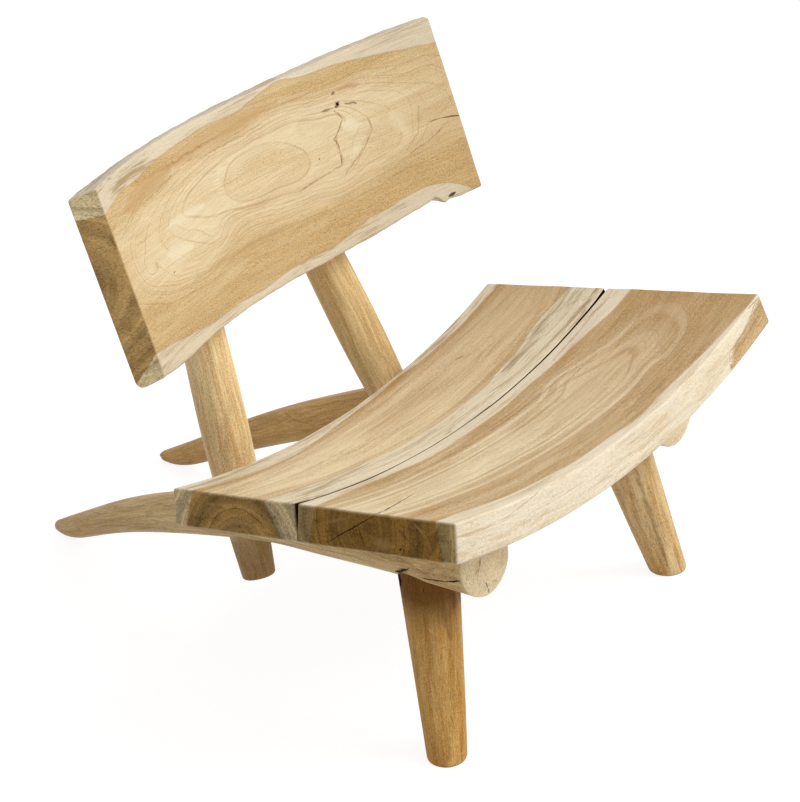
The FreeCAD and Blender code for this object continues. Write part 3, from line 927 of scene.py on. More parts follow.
SEAT_FRONT_FINISH = TeakFinish(
    name="teak_seat_front",
    pale=(236, 216, 177),
    deep=(184, 146, 88),
    late=(150, 108, 60),
    aged=(182, 140, 84),
    sap=(240, 226, 198),
    sap_deep=(214, 190, 150),
    heart_end=(152, 114, 52),
    sap_end=(174, 148, 98),
    arc=(104, 74, 36),
    arc_strength=1.0,
    spacing=9.0,
    line_strength=0.22,
    streak_strength=0.45,
    heart_fray=6.0,
    heart_softness=2.0,
    border_strength=0.2,
    tones=(
        (0, 0.12), (18, 0.2), (23, 0.02), (27, 0.02), (30, 0.5), (32, 0.05), (36, 0.04), (40, 0.45), (46, 0.6),
        (49, 0.12), (53, 0.1), (58, 0.55), (75, 0.7), (100, 0.75), (160, 0.9),
    ),
    bold=(BoldRing(29, 1.1, 0.35), BoldRing(38, 1.0, 0.35), BoldRing(56, 1.2, 0.4), BoldRing(70, 1.0, 0.3)),
    seam=230.0,
    marks=(
        Mark((-318, 108, 0), (-222, 135, 0), 1.7, BROWN_CRACK, 0.9, 4.0, 0.6, 0.5),
        *marks_on(
            seat_front,
            ((226, 0.4), (284, -0.6), 1.0, BROWN_CRACK, 0.85, 2.0, 0.6, 0.5),
            ((280, -0.4), (314, -3.2), 0.9, BROWN_CRACK, 0.85, 2.0, 0.6, 0.5),
            ((311, -27), (290, -29.9), 1.0, (226, 204, 162), 0.7, 2.0, 0.8),
            ((290, -29.9), (279, -36), 1.0, (226, 204, 162), 0.7, 2.0, 0.8),
            ((314, -17), (272, -26), 1.4, BARK_BROWN, 0.4, 2.0, 0.9),
            ((-318, -15), (-240, -15), 2.4, (186, 152, 106), 0.5, 4.0, 0.9),
            ((-240, -15), (-160, 0), 1.8, (186, 152, 106), 0.45, 4.0, 0.9),
        ),
        *marks_on(
            seat_end,
            ((188, -41), (109, 0), 0.9, DARK_GAP, 0.85, 2.0, 0.6, 0.5),
            ((138, -17), (128, -41), 0.8, DARK_GAP, 0.75, 2.0, 0.6, 0.5),
            ((79, -38), (77, -34), 1.6, DARK_GAP, 0.85, 2.0),
            ((74, -38), (73, -35), 1.2, DARK_GAP, 0.85, 2.0),
        ),
        *marks_on(
            broad_face,
            ((244, 223), (304, 212), 3.2, (150, 108, 66), 0.5, 6.0, 0.95),
            ((60, 48), (150, 40), 1.4, (140, 98, 54), 0.4, 5.0, 0.8),
        ),
        *marks_on(
            seat_end,
            ((22, -6), (36, -38), 8.0, (92, 62, 26), 0.6, 4.0, 1.0),
            ((58, -4), (40, -20), 2.6, (176, 142, 90), 0.55, 2.0, 1.0),
            ((40, -20), (34, -36), 1.8, (166, 130, 76), 0.5, 2.0, 1.0),
            ((84, -10), (58, -32), 2.2, (98, 68, 30), 0.5, 4.0, 1.0),
            ((118, -32), (84, -34), 9.0, (172, 140, 88), 0.5, 6.0, 1.0),
            ((150, -14), (104, -26), 2.0, (96, 66, 30), 0.45, 4.0, 1.0),
            ((196, -20), (150, -8), 2.6, (172, 138, 84), 0.4, 4.0, 1.0),
        ),
        *marks_on(
            broad_face,
            ((-170, 188), (-20, 182), 3.0, (158, 118, 68), 0.45, 8.0, 1.0),
            ((-40, 184), (160, 176), 4.0, (148, 108, 60), 0.5, 9.0, 1.0),
            ((30, 168), (200, 160), 3.0, (150, 110, 62), 0.4, 9.0, 1.0),
            ((150, 214), (306, 219), 2.4, (150, 114, 72), 0.5, 7.0, 1.0),
        ),
        *marks_along(
            ((304, 0, -4), (280, 0, -14), (257, 0, -18.9), (227, 0, -21.8), (220, 0, -33.5), (223, 0, -44)),
            1.3, (132, 92, 48), 0.6,
        ),
    ),
)

SEAT_REAR_FINISH = TeakFinish(
    name="teak_seat_rear",
    pale=(240, 219, 178),
    deep=(190, 150, 92),
    late=(148, 106, 60),
    aged=(188, 148, 92),
    sap=(240, 225, 194),
    sap_deep=(168, 142, 102),
    heart_end=(176, 140, 80),
    sap_end=(206, 184, 142),
    arc=(120, 88, 44),
    arc_strength=1.0,
    heart_softness=1.4,
    border_strength=0.3,
    spacing=8.0,
    line_strength=0.25,
    streak_strength=0.42,
    tones=((0, 0.2), (52, 0.2), (66, 0.15), (72, 0.25), (76, 0.5), (82, 0.35), (90, 0.75), (110, 0.9), (160, 1.0)),
    bold=(BoldRing(60, 1.0, 0.25), BoldRing(76, 1.1, 0.35), BoldRing(86, 1.2, 0.4)),
    seam=230.0,
    marks=(
        *marks_on(
            broad_face,
            ((157, 354.6), (144, 361.7), 2.0, (150, 104, 62), 0.75, 3.0),
            ((150, 246), (312, 240), 4.5, (146, 112, 72), 0.5, 8.0, 1.0),
            ((190, 262), (314, 256), 2.0, (150, 116, 76), 0.45, 6.0, 1.0),
            ((-60, 243), (150, 249), 2.2, (160, 128, 88), 0.4, 6.0, 1.0),
            ((-300, 262), (-120, 256), 1.6, (160, 128, 88), 0.4, 5.0, 1.0),
            ((-240, 330), (-90, 338), 5.0, (186, 146, 90), 0.45, 9.0, 1.0),
            ((-60, 350), (90, 352), 7.0, (190, 150, 94), 0.4, 10.0, 1.0),
        ),
        *marks_on(
            seat_end,
            ((318, -12), (262, -38), 1.4, (92, 64, 30), 0.55, 4.0, 1.0),
            ((372, -14), (326, -12), 3.0, (190, 156, 98), 0.4, 4.0, 1.0),
        ),
    ),
)

BACK_FINISH = TeakFinish(
    name="teak_backrest",
    pale=(231, 211, 170),
    deep=(207, 175, 121),
    late=(170, 124, 70),
    aged=(206, 168, 108),
    sap=(226, 211, 182),
    sap_deep=(176, 150, 112),
    heart_end=(184, 150, 96),
    sap_end=(226, 206, 162),
    arc=(132, 98, 52),
    border_strength=0.3,
    wander=2.0,
    line_strength=0.15,
    streak_strength=0.42,
    hair_strength=0.1,
    sand_strength=0.85,
    tones=(
        (0, 0.2), (49, 0.2), (57, 0.32), (59, 0.05), (63, 0.22), (66, 0.02), (71, 0.25), (74, 0.1), (79, 0.3),
        (86, 0.5), (96, 0.8), (115, 0.95), (160, 1.0),
    ),
    bold=(
        BoldRing(57.7, 1.8, 0.36), BoldRing(64.5, 2.2, 0.45), BoldRing(66, 1.0, 0.3), BoldRing(68, 1.3, 0.35),
        BoldRing(72, 1.0, 0.35), BoldRing(76, 1.0, 0.35), BoldRing(78, 0.9, 0.25), BoldRing(80, 1.1, 0.4),
        BoldRing(84, 1.0, 0.3), BoldRing(86, 1.0, 0.35), BoldRing(95, 1.0, 0.3),
    ),
    marks=(
        *marks_on(
            broad_face,
            ((151, 172), (159, 176), 5.0, (92, 52, 16), 0.85, 9.0, 0.8, 0.4),
            ((154.2, 173.2), (156.4, 175.4), 2.4, (30, 10, 2), 1.0, 2.0, 0.4, 0.7),
            ((151, 188), (158, 190), 2.2, (104, 66, 36), 0.85, 5.0, 0.8),
            ((158, 192), (196, 187), 5.0, (176, 124, 78), 0.55, 8.0, 1.0),
            ((164, 172), (184, 165), 2.4, (108, 70, 38), 0.75, 7.0, 0.8),
            ((128, 174), (149, 171), 2.0, (120, 80, 44), 0.7, 6.0, 0.8),
            ((266, 106), (288, 104), 1.0, (140, 94, 52), 0.75, 2.0, 0.7),
            ((284, 104.4), (312, 97), 1.2, (104, 72, 36), 0.9, 2.0, 0.5, 0.8),
            ((-204, 89), (-199, 91), 1.2, BARK_BROWN, 0.75, 2.0),
            ((103, 120), (105, 120.5), 1.4, (70, 44, 24), 0.85, 1.0),
            ((262, 4), (273, 6), 2.6, DARK_GAP, 0.9, 3.0, 0.6, 0.8),
            ((-262, 184), (-130, 202), 20.0, (188, 144, 88), 0.6, 10.0, 1.0),
            ((-150, 200), (70, 210), 19.0, (190, 146, 90), 0.55, 10.0, 1.0),
            ((-236, 176), (-90, 197), 1.8, (146, 102, 56), 0.5, 8.0, 1.0),
            ((-170, 202), (-20, 205), 1.6, (146, 102, 56), 0.5, 7.0, 1.0),
            ((-90, 190), (60, 193), 1.8, (150, 106, 60), 0.5, 7.0, 1.0),
            ((20, 206), (170, 200), 2.0, (166, 122, 72), 0.4, 7.0, 1.0),
            ((-206, 112), (-150, 104), 15.0, (244, 231, 200), 0.6, 10.0, 1.0),
            ((-186, 140), (-100, 139), 9.0, (242, 228, 194), 0.6, 7.0, 1.0),
            ((150, 150), (180, 138), 12.0, (246, 234, 204), 0.55, 8.0, 1.0),
            ((170, 116), (148, 102), 9.0, (242, 228, 194), 0.5, 8.0, 1.0),
            ((222, 140), (236, 102), 13.0, (240, 224, 184), 0.45, 8.0, 1.0),
            ((-170, 68), (40, 62), 9.0, (186, 146, 92), 0.45, 10.0, 1.0),
        ),
        *marks_along(((191, 142, 0), (192, 126, 0), (172, 108, 0), (134, 88, 0)), 1.8, (158, 114, 64), 0.5),
        *marks_along(((262, 130, 0), (250, 98, 0), (228, 83, 0)), 1.5, (164, 120, 68), 0.4),
        *marks_along(((292, 97, 0), (262, 83, 0), (231, 77, 0)), 1.4, (150, 106, 58), 0.55),
        *marks_along(
            ((148, 168, 0), (157, 154, 0), (141, 139, 0), (134, 134, 0), (139, 127, 0), (137, 114, 0), (134, 101, 0)),
            1.3, (116, 76, 40), 0.7,
        ),
        *marks_along(((134, 101, 0), (113, 99, 0), (58, 95, 0)), 1.1, (128, 88, 48), 0.55),
    ),
)

BACK_TRACES = (
    RingTrace(57.7, (
        (-54, 152), (-31, 170), (14, 172), (54, 162), (68, 153), (81, 144), (89, 131), (88, 117), (71, 107), (47, 108),
        (21, 111), (-26, 112), (-54, 126), (-60, 139), (-54, 152),
    )),
    RingTrace(64.5, (
        (-128, 131), (-136, 140), (-150, 149), (-119, 163), (-61, 174), (17, 178), (79, 179), (131, 166), (148, 168),
        (157, 154), (141, 139), (134, 134), (139, 127), (137, 114), (134, 101), (113, 99), (59, 96), (-27, 109.5),
        (-91, 121), (-128, 131),
    )),
    RingTrace(68, ((-185, 141), (-172, 122), (-130, 98), (-99, 90))),
    RingTrace(68, (
        (154, 172), (172, 165), (185, 152), (194, 136), (186, 125), (171, 111), (158, 95), (138, 85), (114, 85),
    )),
    RingTrace(70.5, ((196, 113), (202, 108), (209, 102))),
    RingTrace(72, ((182, 166), (202, 158), (218, 149), (224, 133))),
    RingTrace(76, ((-176, 172), (-218, 155), (-233, 145), (-244, 137), (-241, 124), (-225, 112))),
    RingTrace(78, ((273, 139), (262, 120), (251, 99), (240, 88), (224, 79), (183, 76))),
    RingTrace(80, (
        (-200, 180), (-246, 165), (-270, 152), (-277, 133), (-276, 118), (-268, 101), (-244, 87), (-197, 73),
        (-135, 65),
    )),
    RingTrace(80, ((197, 186), (231, 174), (254, 166), (273, 155))),
    RingTrace(84, ((291, 94), (272, 85), (247, 75), (229, 77), (202, 74))),
    RingTrace(86, ((-302, 120), (-289, 109), (-269, 89), (-224, 70))),
    RingTrace(86, ((286, 178), (297, 172), (305, 165))),
)

FLAME_TRACES = (
    RingTrace(50, ((207, 152), (262, 139), (279, 127), (277, 105), (257, 79), (238, 68), (205, 63), (183, 63))),
    RingTrace(34, ((113, 172), (149, 154), (189, 137), (215, 119), (199, 97), (184, 92), (155, 94))),
    RingTrace(25, ((116, 147), (148, 132), (162, 116), (164, 98), (129, 91), (85, 91))),
)

RAIL_NEAR_FINISH = TeakFinish(
    name="teak_rail_right",
    pale=(238, 211, 156),
    deep=(190, 154, 100),
    late=(120, 86, 50),
    aged=(196, 156, 102),
    heart_end=(250, 229, 188),
    arc=(214, 182, 138),
    spacing=6.0,
    tones=((0, 0.3), (20, 0.5), (30, 0.35), (45, 0.6), (160, 0.8)),
    streak_strength=1.0,
    line_strength=0.75,
    hair_strength=0.35,
    band_strength=1.4,
    arc_strength=0.15,
    marks=(
        *marks_along(
            ((66, 35.5, 17), (50, 37.3, 15.4), (25, 40.4, 10.7), (4.5, 42.5, 4.8), (-3, 36.6, 4.4)),
            1.7, (18, 7, 1), 1.0,
        ),
        Mark((-7.4, 14, -13), (-7.5, 18, -1), 1.1, (96, 66, 40), 0.8, 2.0, 0.6, 0.5),
        Mark((-7.5, 18, -1), (-5.9, 26, 4), 1.0, (120, 88, 58), 0.7, 2.0, 0.6, 0.5),
        Mark((-6.4, 12, 20), (-4.2, 8, 31), 1.1, (104, 72, 44), 0.75, 2.0, 0.6, 0.5),
        Mark((-4.2, 8, 31), (-0.8, 4, 41), 1.1, (104, 72, 44), 0.75, 2.0, 0.6, 0.5),
        Mark((-5.6, 2, 26), (-4.4, -9, 30), 1.8, (170, 126, 78), 0.55, 3.0, 0.9),
        Mark((-6.6, -10, -20), (-5.2, -24, -17), 1.0, (150, 112, 76), 0.6, 3.0, 0.8),
        Mark((-5.6, -18, 20), (-5.8, -26, -2), 8.0, (214, 182, 134), 0.5, 6.0, 1.0),
        Mark((-8.2, -12, -12), (-8.0, 8, 10), 1.2, (196, 160, 116), 0.5, 3.0, 0.9),
        Mark((-6.6, 20, -10), (-6.4, 24, 10), 5.0, (222, 190, 146), 0.5, 5.0, 1.0),
        # Painted shadow: the dark notch where the leg meets the rail.
        Mark((82, 38, 6), (112, 31, 21), 4.4, (26, 10, 2), 0.95, 6.0, 0.8, 0.6),
        Mark((140, 33, 10), (330, 30, 12), 1.4, (112, 80, 46), 0.5, 5.0, 0.8),
    ),
)

RAIL_FAR_FINISH = replace(
    RAIL_NEAR_FINISH, name="teak_rail_left", pale=(230, 192, 126), deep=(184, 140, 80), aged=(200, 154, 90), marks=(),
)

LEG_NEAR_FINISH = TeakFinish(
    name="teak_leg_right",
    pale=(230, 186, 114),
    deep=(184, 132, 62),
    late=(132, 84, 38),
    # The aged tone here is painted shade at the leg's top, under the rail's disc.
    aged=(100, 62, 14),
    pore=(118, 72, 30),
    heart_end=(170, 130, 76),
    arc=(200, 160, 104),
    specular=0.12,
    spacing=6.5,
    tones=((0, 0.35), (18, 0.3), (28, 0.6), (40, 0.4), (160, 0.6)),
    streak_strength=0.9,
    line_strength=0.4,
    speck_strength=0.5,
    band_strength=1.6,
    sand_strength=1.4,
    marks=(
        # Painted shade: the first four marks and the 14 mm wide dark one below them are the shadow line where the leg
        # meets the rail and the shade under the rail's disc.
        Mark((226, -31, 14), (202, -31, 22), 5.5, (34, 14, 3), 0.9, 7.0, 0.8, 0.5),
        Mark((212, -20, -30), (148, -12, -32), 5.0, (112, 68, 28), 0.5, 8.0, 1.0),
        Mark((216, -30, 2), (150, -28, 4), 3.0, (118, 74, 32), 0.45, 7.0, 1.0),
        Mark((202, -4, -36), (180, 0, -36), 7.0, (96, 58, 24), 0.55, 7.0, 1.0),
        Mark((196, -26, 21), (150, -24, 20), 3.0, (222, 184, 126), 0.4, 5.0, 1.0),
        Mark((120, -27, -8), (20, -20, -6), 4.0, (226, 184, 118), 0.35, 8.0, 1.0),
        Mark((205, 14, -30), (178, 20, -26), 14.0, (80, 48, 14), 0.75, 8.0, 1.0),
        Mark((195, -8, -34), (136, -10, -30), 4.0, (116, 72, 24), 0.55, 8.0, 1.0),
        Mark((190, -30, 12), (120, -29, 10), 3.5, (226, 192, 136), 0.45, 6.0, 1.0),
        Mark((200, -22, 26), (60, -18, 22), 5.0, (104, 68, 28), 0.6, 6.0, 1.0),
        Mark((172, -20, -26), (148, -20, -24), 8.0, (196, 136, 56), 0.4, 8.0, 1.0),
        Mark((30, -16, -18), (6, -16, -16), 6.0, (140, 92, 38), 0.5, 6.0, 1.0),
    ),
)

# The far leg's aged tone is painted shade at its top too.
LEG_FAR_FINISH = replace(
    LEG_NEAR_FINISH, name="teak_leg_left", pale=(248, 222, 172), deep=(198, 154, 88), aged=(170, 126, 70),
    marks=(
        Mark((200, -18, -27), (8, -18, -17), 5.0, (128, 86, 40), 0.6, 8.0, 1.0),
        Mark((190, -28, -12), (30, -24, -6), 3.0, (150, 108, 58), 0.45, 8.0, 1.0),
        Mark((160, 6, -34), (20, 4, -25), 5.0, (246, 220, 168), 0.4, 8.0, 1.0),
    ),
)

POST_NEAR_FINISH = TeakFinish(
    name="teak_post_right",
    pale=(252, 228, 176),
    deep=(204, 160, 100),
    late=(132, 90, 48),
    # The aged tone here is painted shade, on the post below the rail.
    aged=(118, 74, 12),
    heart_end=(170, 130, 80),
    arc=(206, 170, 116),
    specular=0.12,
    spacing=6.0,
    tones=((0, 0.2), (12, 0.5), (20, 0.1), (27, 0.5), (31, 0.2), (38, 0.6), (160, 0.7)),
    streak_strength=0.7,
    line_strength=0.5,
    speck_strength=0.5,
    band_strength=1.3,
)

POST_FAR_FINISH = replace(POST_NEAR_FINISH, name="teak_post_left", pale=(240, 212, 158), deep=(190, 148, 88))

PLUG_FINISH = TeakFinish(
    name="teak_plugs",
    pale=(214, 180, 128),
    deep=(180, 142, 90),
    late=(130, 92, 52),
    aged=(168, 130, 84),
    spacing=3.0,
    source=GrainSource.PLACE,
)

DOWEL_FINISH = TeakFinish(
    name="beech_dowels",
    pale=(226, 200, 160),
    deep=(206, 172, 126),
    late=(170, 130, 88),
    aged=(206, 172, 126),
    spacing=2.5,
    source=GrainSource.PLACE,
)

SCREW_FINISH = SteelFinish(name="screw_steel")

PAIRED_FINISHES = {
    Side.LEFT: (RAIL_FAR_FINISH, LEG_FAR_FINISH, POST_FAR_FINISH),
    Side.RIGHT: (RAIL_NEAR_FINISH, LEG_NEAR_FINISH, POST_NEAR_FINISH),
}


# ---------------------------------------------------------------------------
# The chair's pieces
# ---------------------------------------------------------------------------


def placed(piece: bpy.types.Object, material: bpy.types.Material, node: str) -> None:
    """Dresses a new piece, hangs it on the chair and lets it stand for its solid.

    Args:
        piece: the new piece.
        material: its finish.
        node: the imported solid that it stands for.
    """
    piece.data.materials.append(material)
    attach(piece, "root")
    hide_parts(node)
    LOG.info("%s: %d faces, for %s", piece.name, len(piece.data.polygons), node)


@dataclass
class DishedSeat:
    """Two planks bent across the chair, laid side by side with an open vee between."""

    half_arc: float = SEAT_HALF_ARC
    radius: float = 1126.348
    tilt: float = math.radians(10.7)
    front_height: float = 340.5
    thickness: float = 45.0
    seam: float = 230.0
    seam_gap: float = 0.1
    depth: float = 427.0
    edge_round: float = 3.0
    closed_height: float = 9.0
    skin_gap: float = 0.2
    far_reach: float = 3.4
    side_points: tuple[int, ...] = (58, 12, 6, 40, 14)
    middle_stations: int = 203
    cap_rings: int = 18
    unevenness: float = 0.5
    worked_skin: Ramp = (-12, 12)
    traced_skin: Ramp = (-30, 30)
    front_heart_lean: float = 0.245
    rear_heart_leans: tuple[float, float] = (0.55, 0.35)
    front_wear: float = 0.65
    front_wear_along: Ramp = (-60, 380)
    front_wear_middle: float = 110.0
    front_wear_across: Ramp = (165, -150)
    rear_wear: float = 0.5
    rear_wear_along: Ramp = (-100, 420)
    front_vee: Knots = ((-314.1, 3.0), (-300, 2.0), (-240, 1.6), (240, 1.6), (300, 1.9), (316.7, 2.6))
    rear_vee: Knots = ((-314.1, 3.6), (-300, 2.4), (-240, 2.0), (240, 2.0), (300, 2.4), (316.7, 3.6))
    front_heart_start: Knots = (
        (-312, 27.4), (-268, 30.9), (-206, 25.3), (-137, 22.5), (-66, 18), (-26, 18), (50, 12.9), (99, 16.4),
        (168, 15.3), (209, 11), (260, 7.9), (296, 3.5), (314, 2.0),
    )
    front_heart_reach: Knots = (
        (-320, 140), (100, 140), (190, 90), (219, 42), (237, 23), (260, 18.6), (286, 13.8), (304, 8), (320, 8),
    )
    front_heart_finish: Knots = (
        (-312, 201), (-259, 210), (-206, 216), (-164, 213), (-124, 207.5), (-42, 209), (43, 207.5), (61, 209),
        (145, 207), (226, 200.5), (265, 194), (308, 191),
    )
    front_pith_depth: Knots = (
        (-320, 135), (-100, 126), (60, 118), (116, 119), (150, 121), (215, 115), (279, 114), (320, 110),
    )
    front_pith_height: Knots = (
        (-320, -20), (-150, -12), (0, -6), (60, -4), (116, -8), (165, -24), (215, -34), (279, -50), (320, -66),
    )
    rear_heart_start: Knots = (
        (-315, 279.7), (-270, 279), (-169, 277), (-63, 272), (38, 271), (92, 271.5), (135, 280), (165, 281), (228, 292),
        (315, 288.5),
    )
    rear_heart_finish: Knots = (
        (-317, 392.7), (-151, 391), (0, 414), (46, 415), (98, 419), (134, 413), (176, 411), (224, 407.7), (278, 407.3),
        (310, 405.5),
    )
    rear_pith_depth: Knots = ((-320, 322), (-100, 330), (100, 338), (320, 345))
    rear_pith_height: Knots = ((-320, -72), (-120, -60), (60, -52), (200, -60), (320, -74))

    def points(self, s: np.ndarray, d: np.ndarray, h: np.ndarray) -> np.ndarray:
        """Place of arc s, depth d down the slope and height h over the top face.

        The section is swung round the dish's centre, which lies one radius up the seat's
        normal: x = (R - h) sin(s / R), and the rest follows (R - h) cos(s / R).
        """
        down = np.array([0.0, math.cos(self.tilt), -math.sin(self.tilt)])
        normal = np.array([0.0, math.sin(self.tilt), math.cos(self.tilt)])
        centre = np.array([0.0, 0.0, self.front_height]) + normal * self.radius
        swing, reach = s / self.radius, self.radius - h
        across = (reach * np.sin(swing))[..., None] * X_AXIS
        return centre + across + down * d[..., None] - normal * (reach * np.cos(swing))[..., None]

    def stations(self) -> tuple[np.ndarray, np.ndarray, np.ndarray]:
        """Arc, inset and end share of each outline, from the eased edge at one end to the other."""
        ease, draw, share = eased(self.edge_round, EASED_POINTS)
        near, far = -self.half_arc, self.half_arc + self.far_reach
        middle = np.linspace(near + self.edge_round, far - self.edge_round, self.middle_stations)[1:-1]
        s = np.concatenate([near + ease[::-1], middle, far - ease])
        flat = np.zeros_like(middle)
        return s, np.concatenate([draw[::-1], flat, draw]), np.concatenate([share[::-1], flat, share])

    def plank(
        self, corners: Callable[[np.ndarray], np.ndarray], radii: tuple[float, ...], seed: float,
    ) -> tuple[np.ndarray, ...]:
        """Section outlines swept from end to end, with eased ends and flat caps.

        Args:
            corners: gives the section's corners (stations, corners, 2), as depth and height, at each arc.
            radii: rounding of each corner.
            seed: makes this plank's unevenness its own.

        Returns:
            Arc, depth, height and end share of every point, as (stations, points).
        """
        s, inset, end = self.stations()
        rounding = np.repeat(np.array(radii)[None], len(s), axis=0)
        rings = capped(rounded_rings(corners(s), rounding, inset, self.side_points), self.cap_rings)
        s, end = np.pad(s, self.cap_rings, "edge"), np.pad(end, self.cap_rings, "edge")
        s, end = (np.repeat(values[:, None], rings.shape[1], axis=1) for values in (s, end))
        d, h = rings[..., 0], rings[..., 1]
        worked = ramp(h, self.worked_skin) * ripple(s, d, seed) * self.unevenness
        return s, d, h + worked - self.skin_gap * np.where(h < -self.thickness / 2, -1, 1), end

    def front_corners(self, s: np.ndarray) -> np.ndarray:
        """Front plank's section at each arc; its seam corner falls back from the seam at both ends."""
        low, slit = -self.thickness, self.closed_height - self.thickness
        start, back = np.zeros_like(s), self.seam - smooth_line(s, self.front_vee)
        flat = np.full_like(s, self.seam - self.seam_gap)
        return section((start, 0.0), (back, 0.0), (flat, slit), (flat, low), (start, low))

    def rear_corners(self, s: np.ndarray) -> np.ndarray:
        """Rear plank's section at each arc, from its seam corner round to the seam again."""
        low, slit = -self.thickness, self.closed_height - self.thickness
        start, rear = self.seam + smooth_line(s, self.rear_vee), np.full_like(s, self.depth)
        flat = np.full_like(s, self.seam + self.seam_gap)
        return section((start, 0.0), (rear, 0.0), (rear, low), (flat, low), (flat, slit))

    def front_plank(self) -> Timber:
        """Front plank: its tree's heart runs deep at the far end, so the figure is a flame."""
        s, d, h, end = self.plank(self.front_corners, (3.0, 1.2, 0.4, 0.6, 3.0), 1.0)
        start, reach = smooth_line(s, self.front_heart_start), smooth_line(s, self.front_heart_reach)
        finish = smooth_line(s, self.front_heart_finish) - h * self.front_heart_lean
        heart = np.minimum(d - start * (1 + h / reach), finish - d)
        bend = bent_to(FLAME_TRACES, self.front_rings)(s, d)
        ring = self.front_rings(s, d, h) + bend * ramp(h, self.traced_skin)
        across = ramp(np.abs(d - self.front_wear_middle), self.front_wear_across)
        patina = self.front_wear * ramp(s, self.front_wear_along) * across
        return Timber(self.points(s, d, h), np.stack([s, d, h], axis=-1), ring, heart, end, patina)

    def front_rings(self, s: np.ndarray, d: np.ndarray, h: np.ndarray | float = 0.0) -> np.ndarray:
        """Distance from the front plank's pith, a line at given depths and heights."""
        return np.hypot(d - smooth_line(s, self.front_pith_depth), h - smooth_line(s, self.front_pith_height))

    def rear_plank(self) -> Timber:
        """Rear plank: its tree's heart lies under it, so the figure runs straight."""
        s, d, h, end = self.plank(self.rear_corners, (1.2, 3.0, 3.0, 0.6, 0.4), 2.0)
        start = smooth_line(s, self.rear_heart_start) + h * self.rear_heart_leans[0]
        finish = smooth_line(s, self.rear_heart_finish) - h * self.rear_heart_leans[1]
        heart = np.minimum(d - start, finish - d)
        ring = np.hypot(d - smooth_line(s, self.rear_pith_depth), h - smooth_line(s, self.rear_pith_height))
        patina = self.rear_wear * ramp(s, self.rear_wear_along)
        return Timber(self.points(s, d, h), np.stack([s, d, h], axis=-1), ring, heart, end, patina)

    def build(self, effects: TeakEffects) -> None:
        """Makes both planks and dresses them."""
        for row, timber, finish in (
            ("front", self.front_plank(), SEAT_FRONT_FINISH), ("rear", self.rear_plank(), SEAT_REAR_FINISH),
        ):
            placed(timber.mesh(f"seat_plank_{row}"), finish.material(effects), f"seat_{row}_plank")


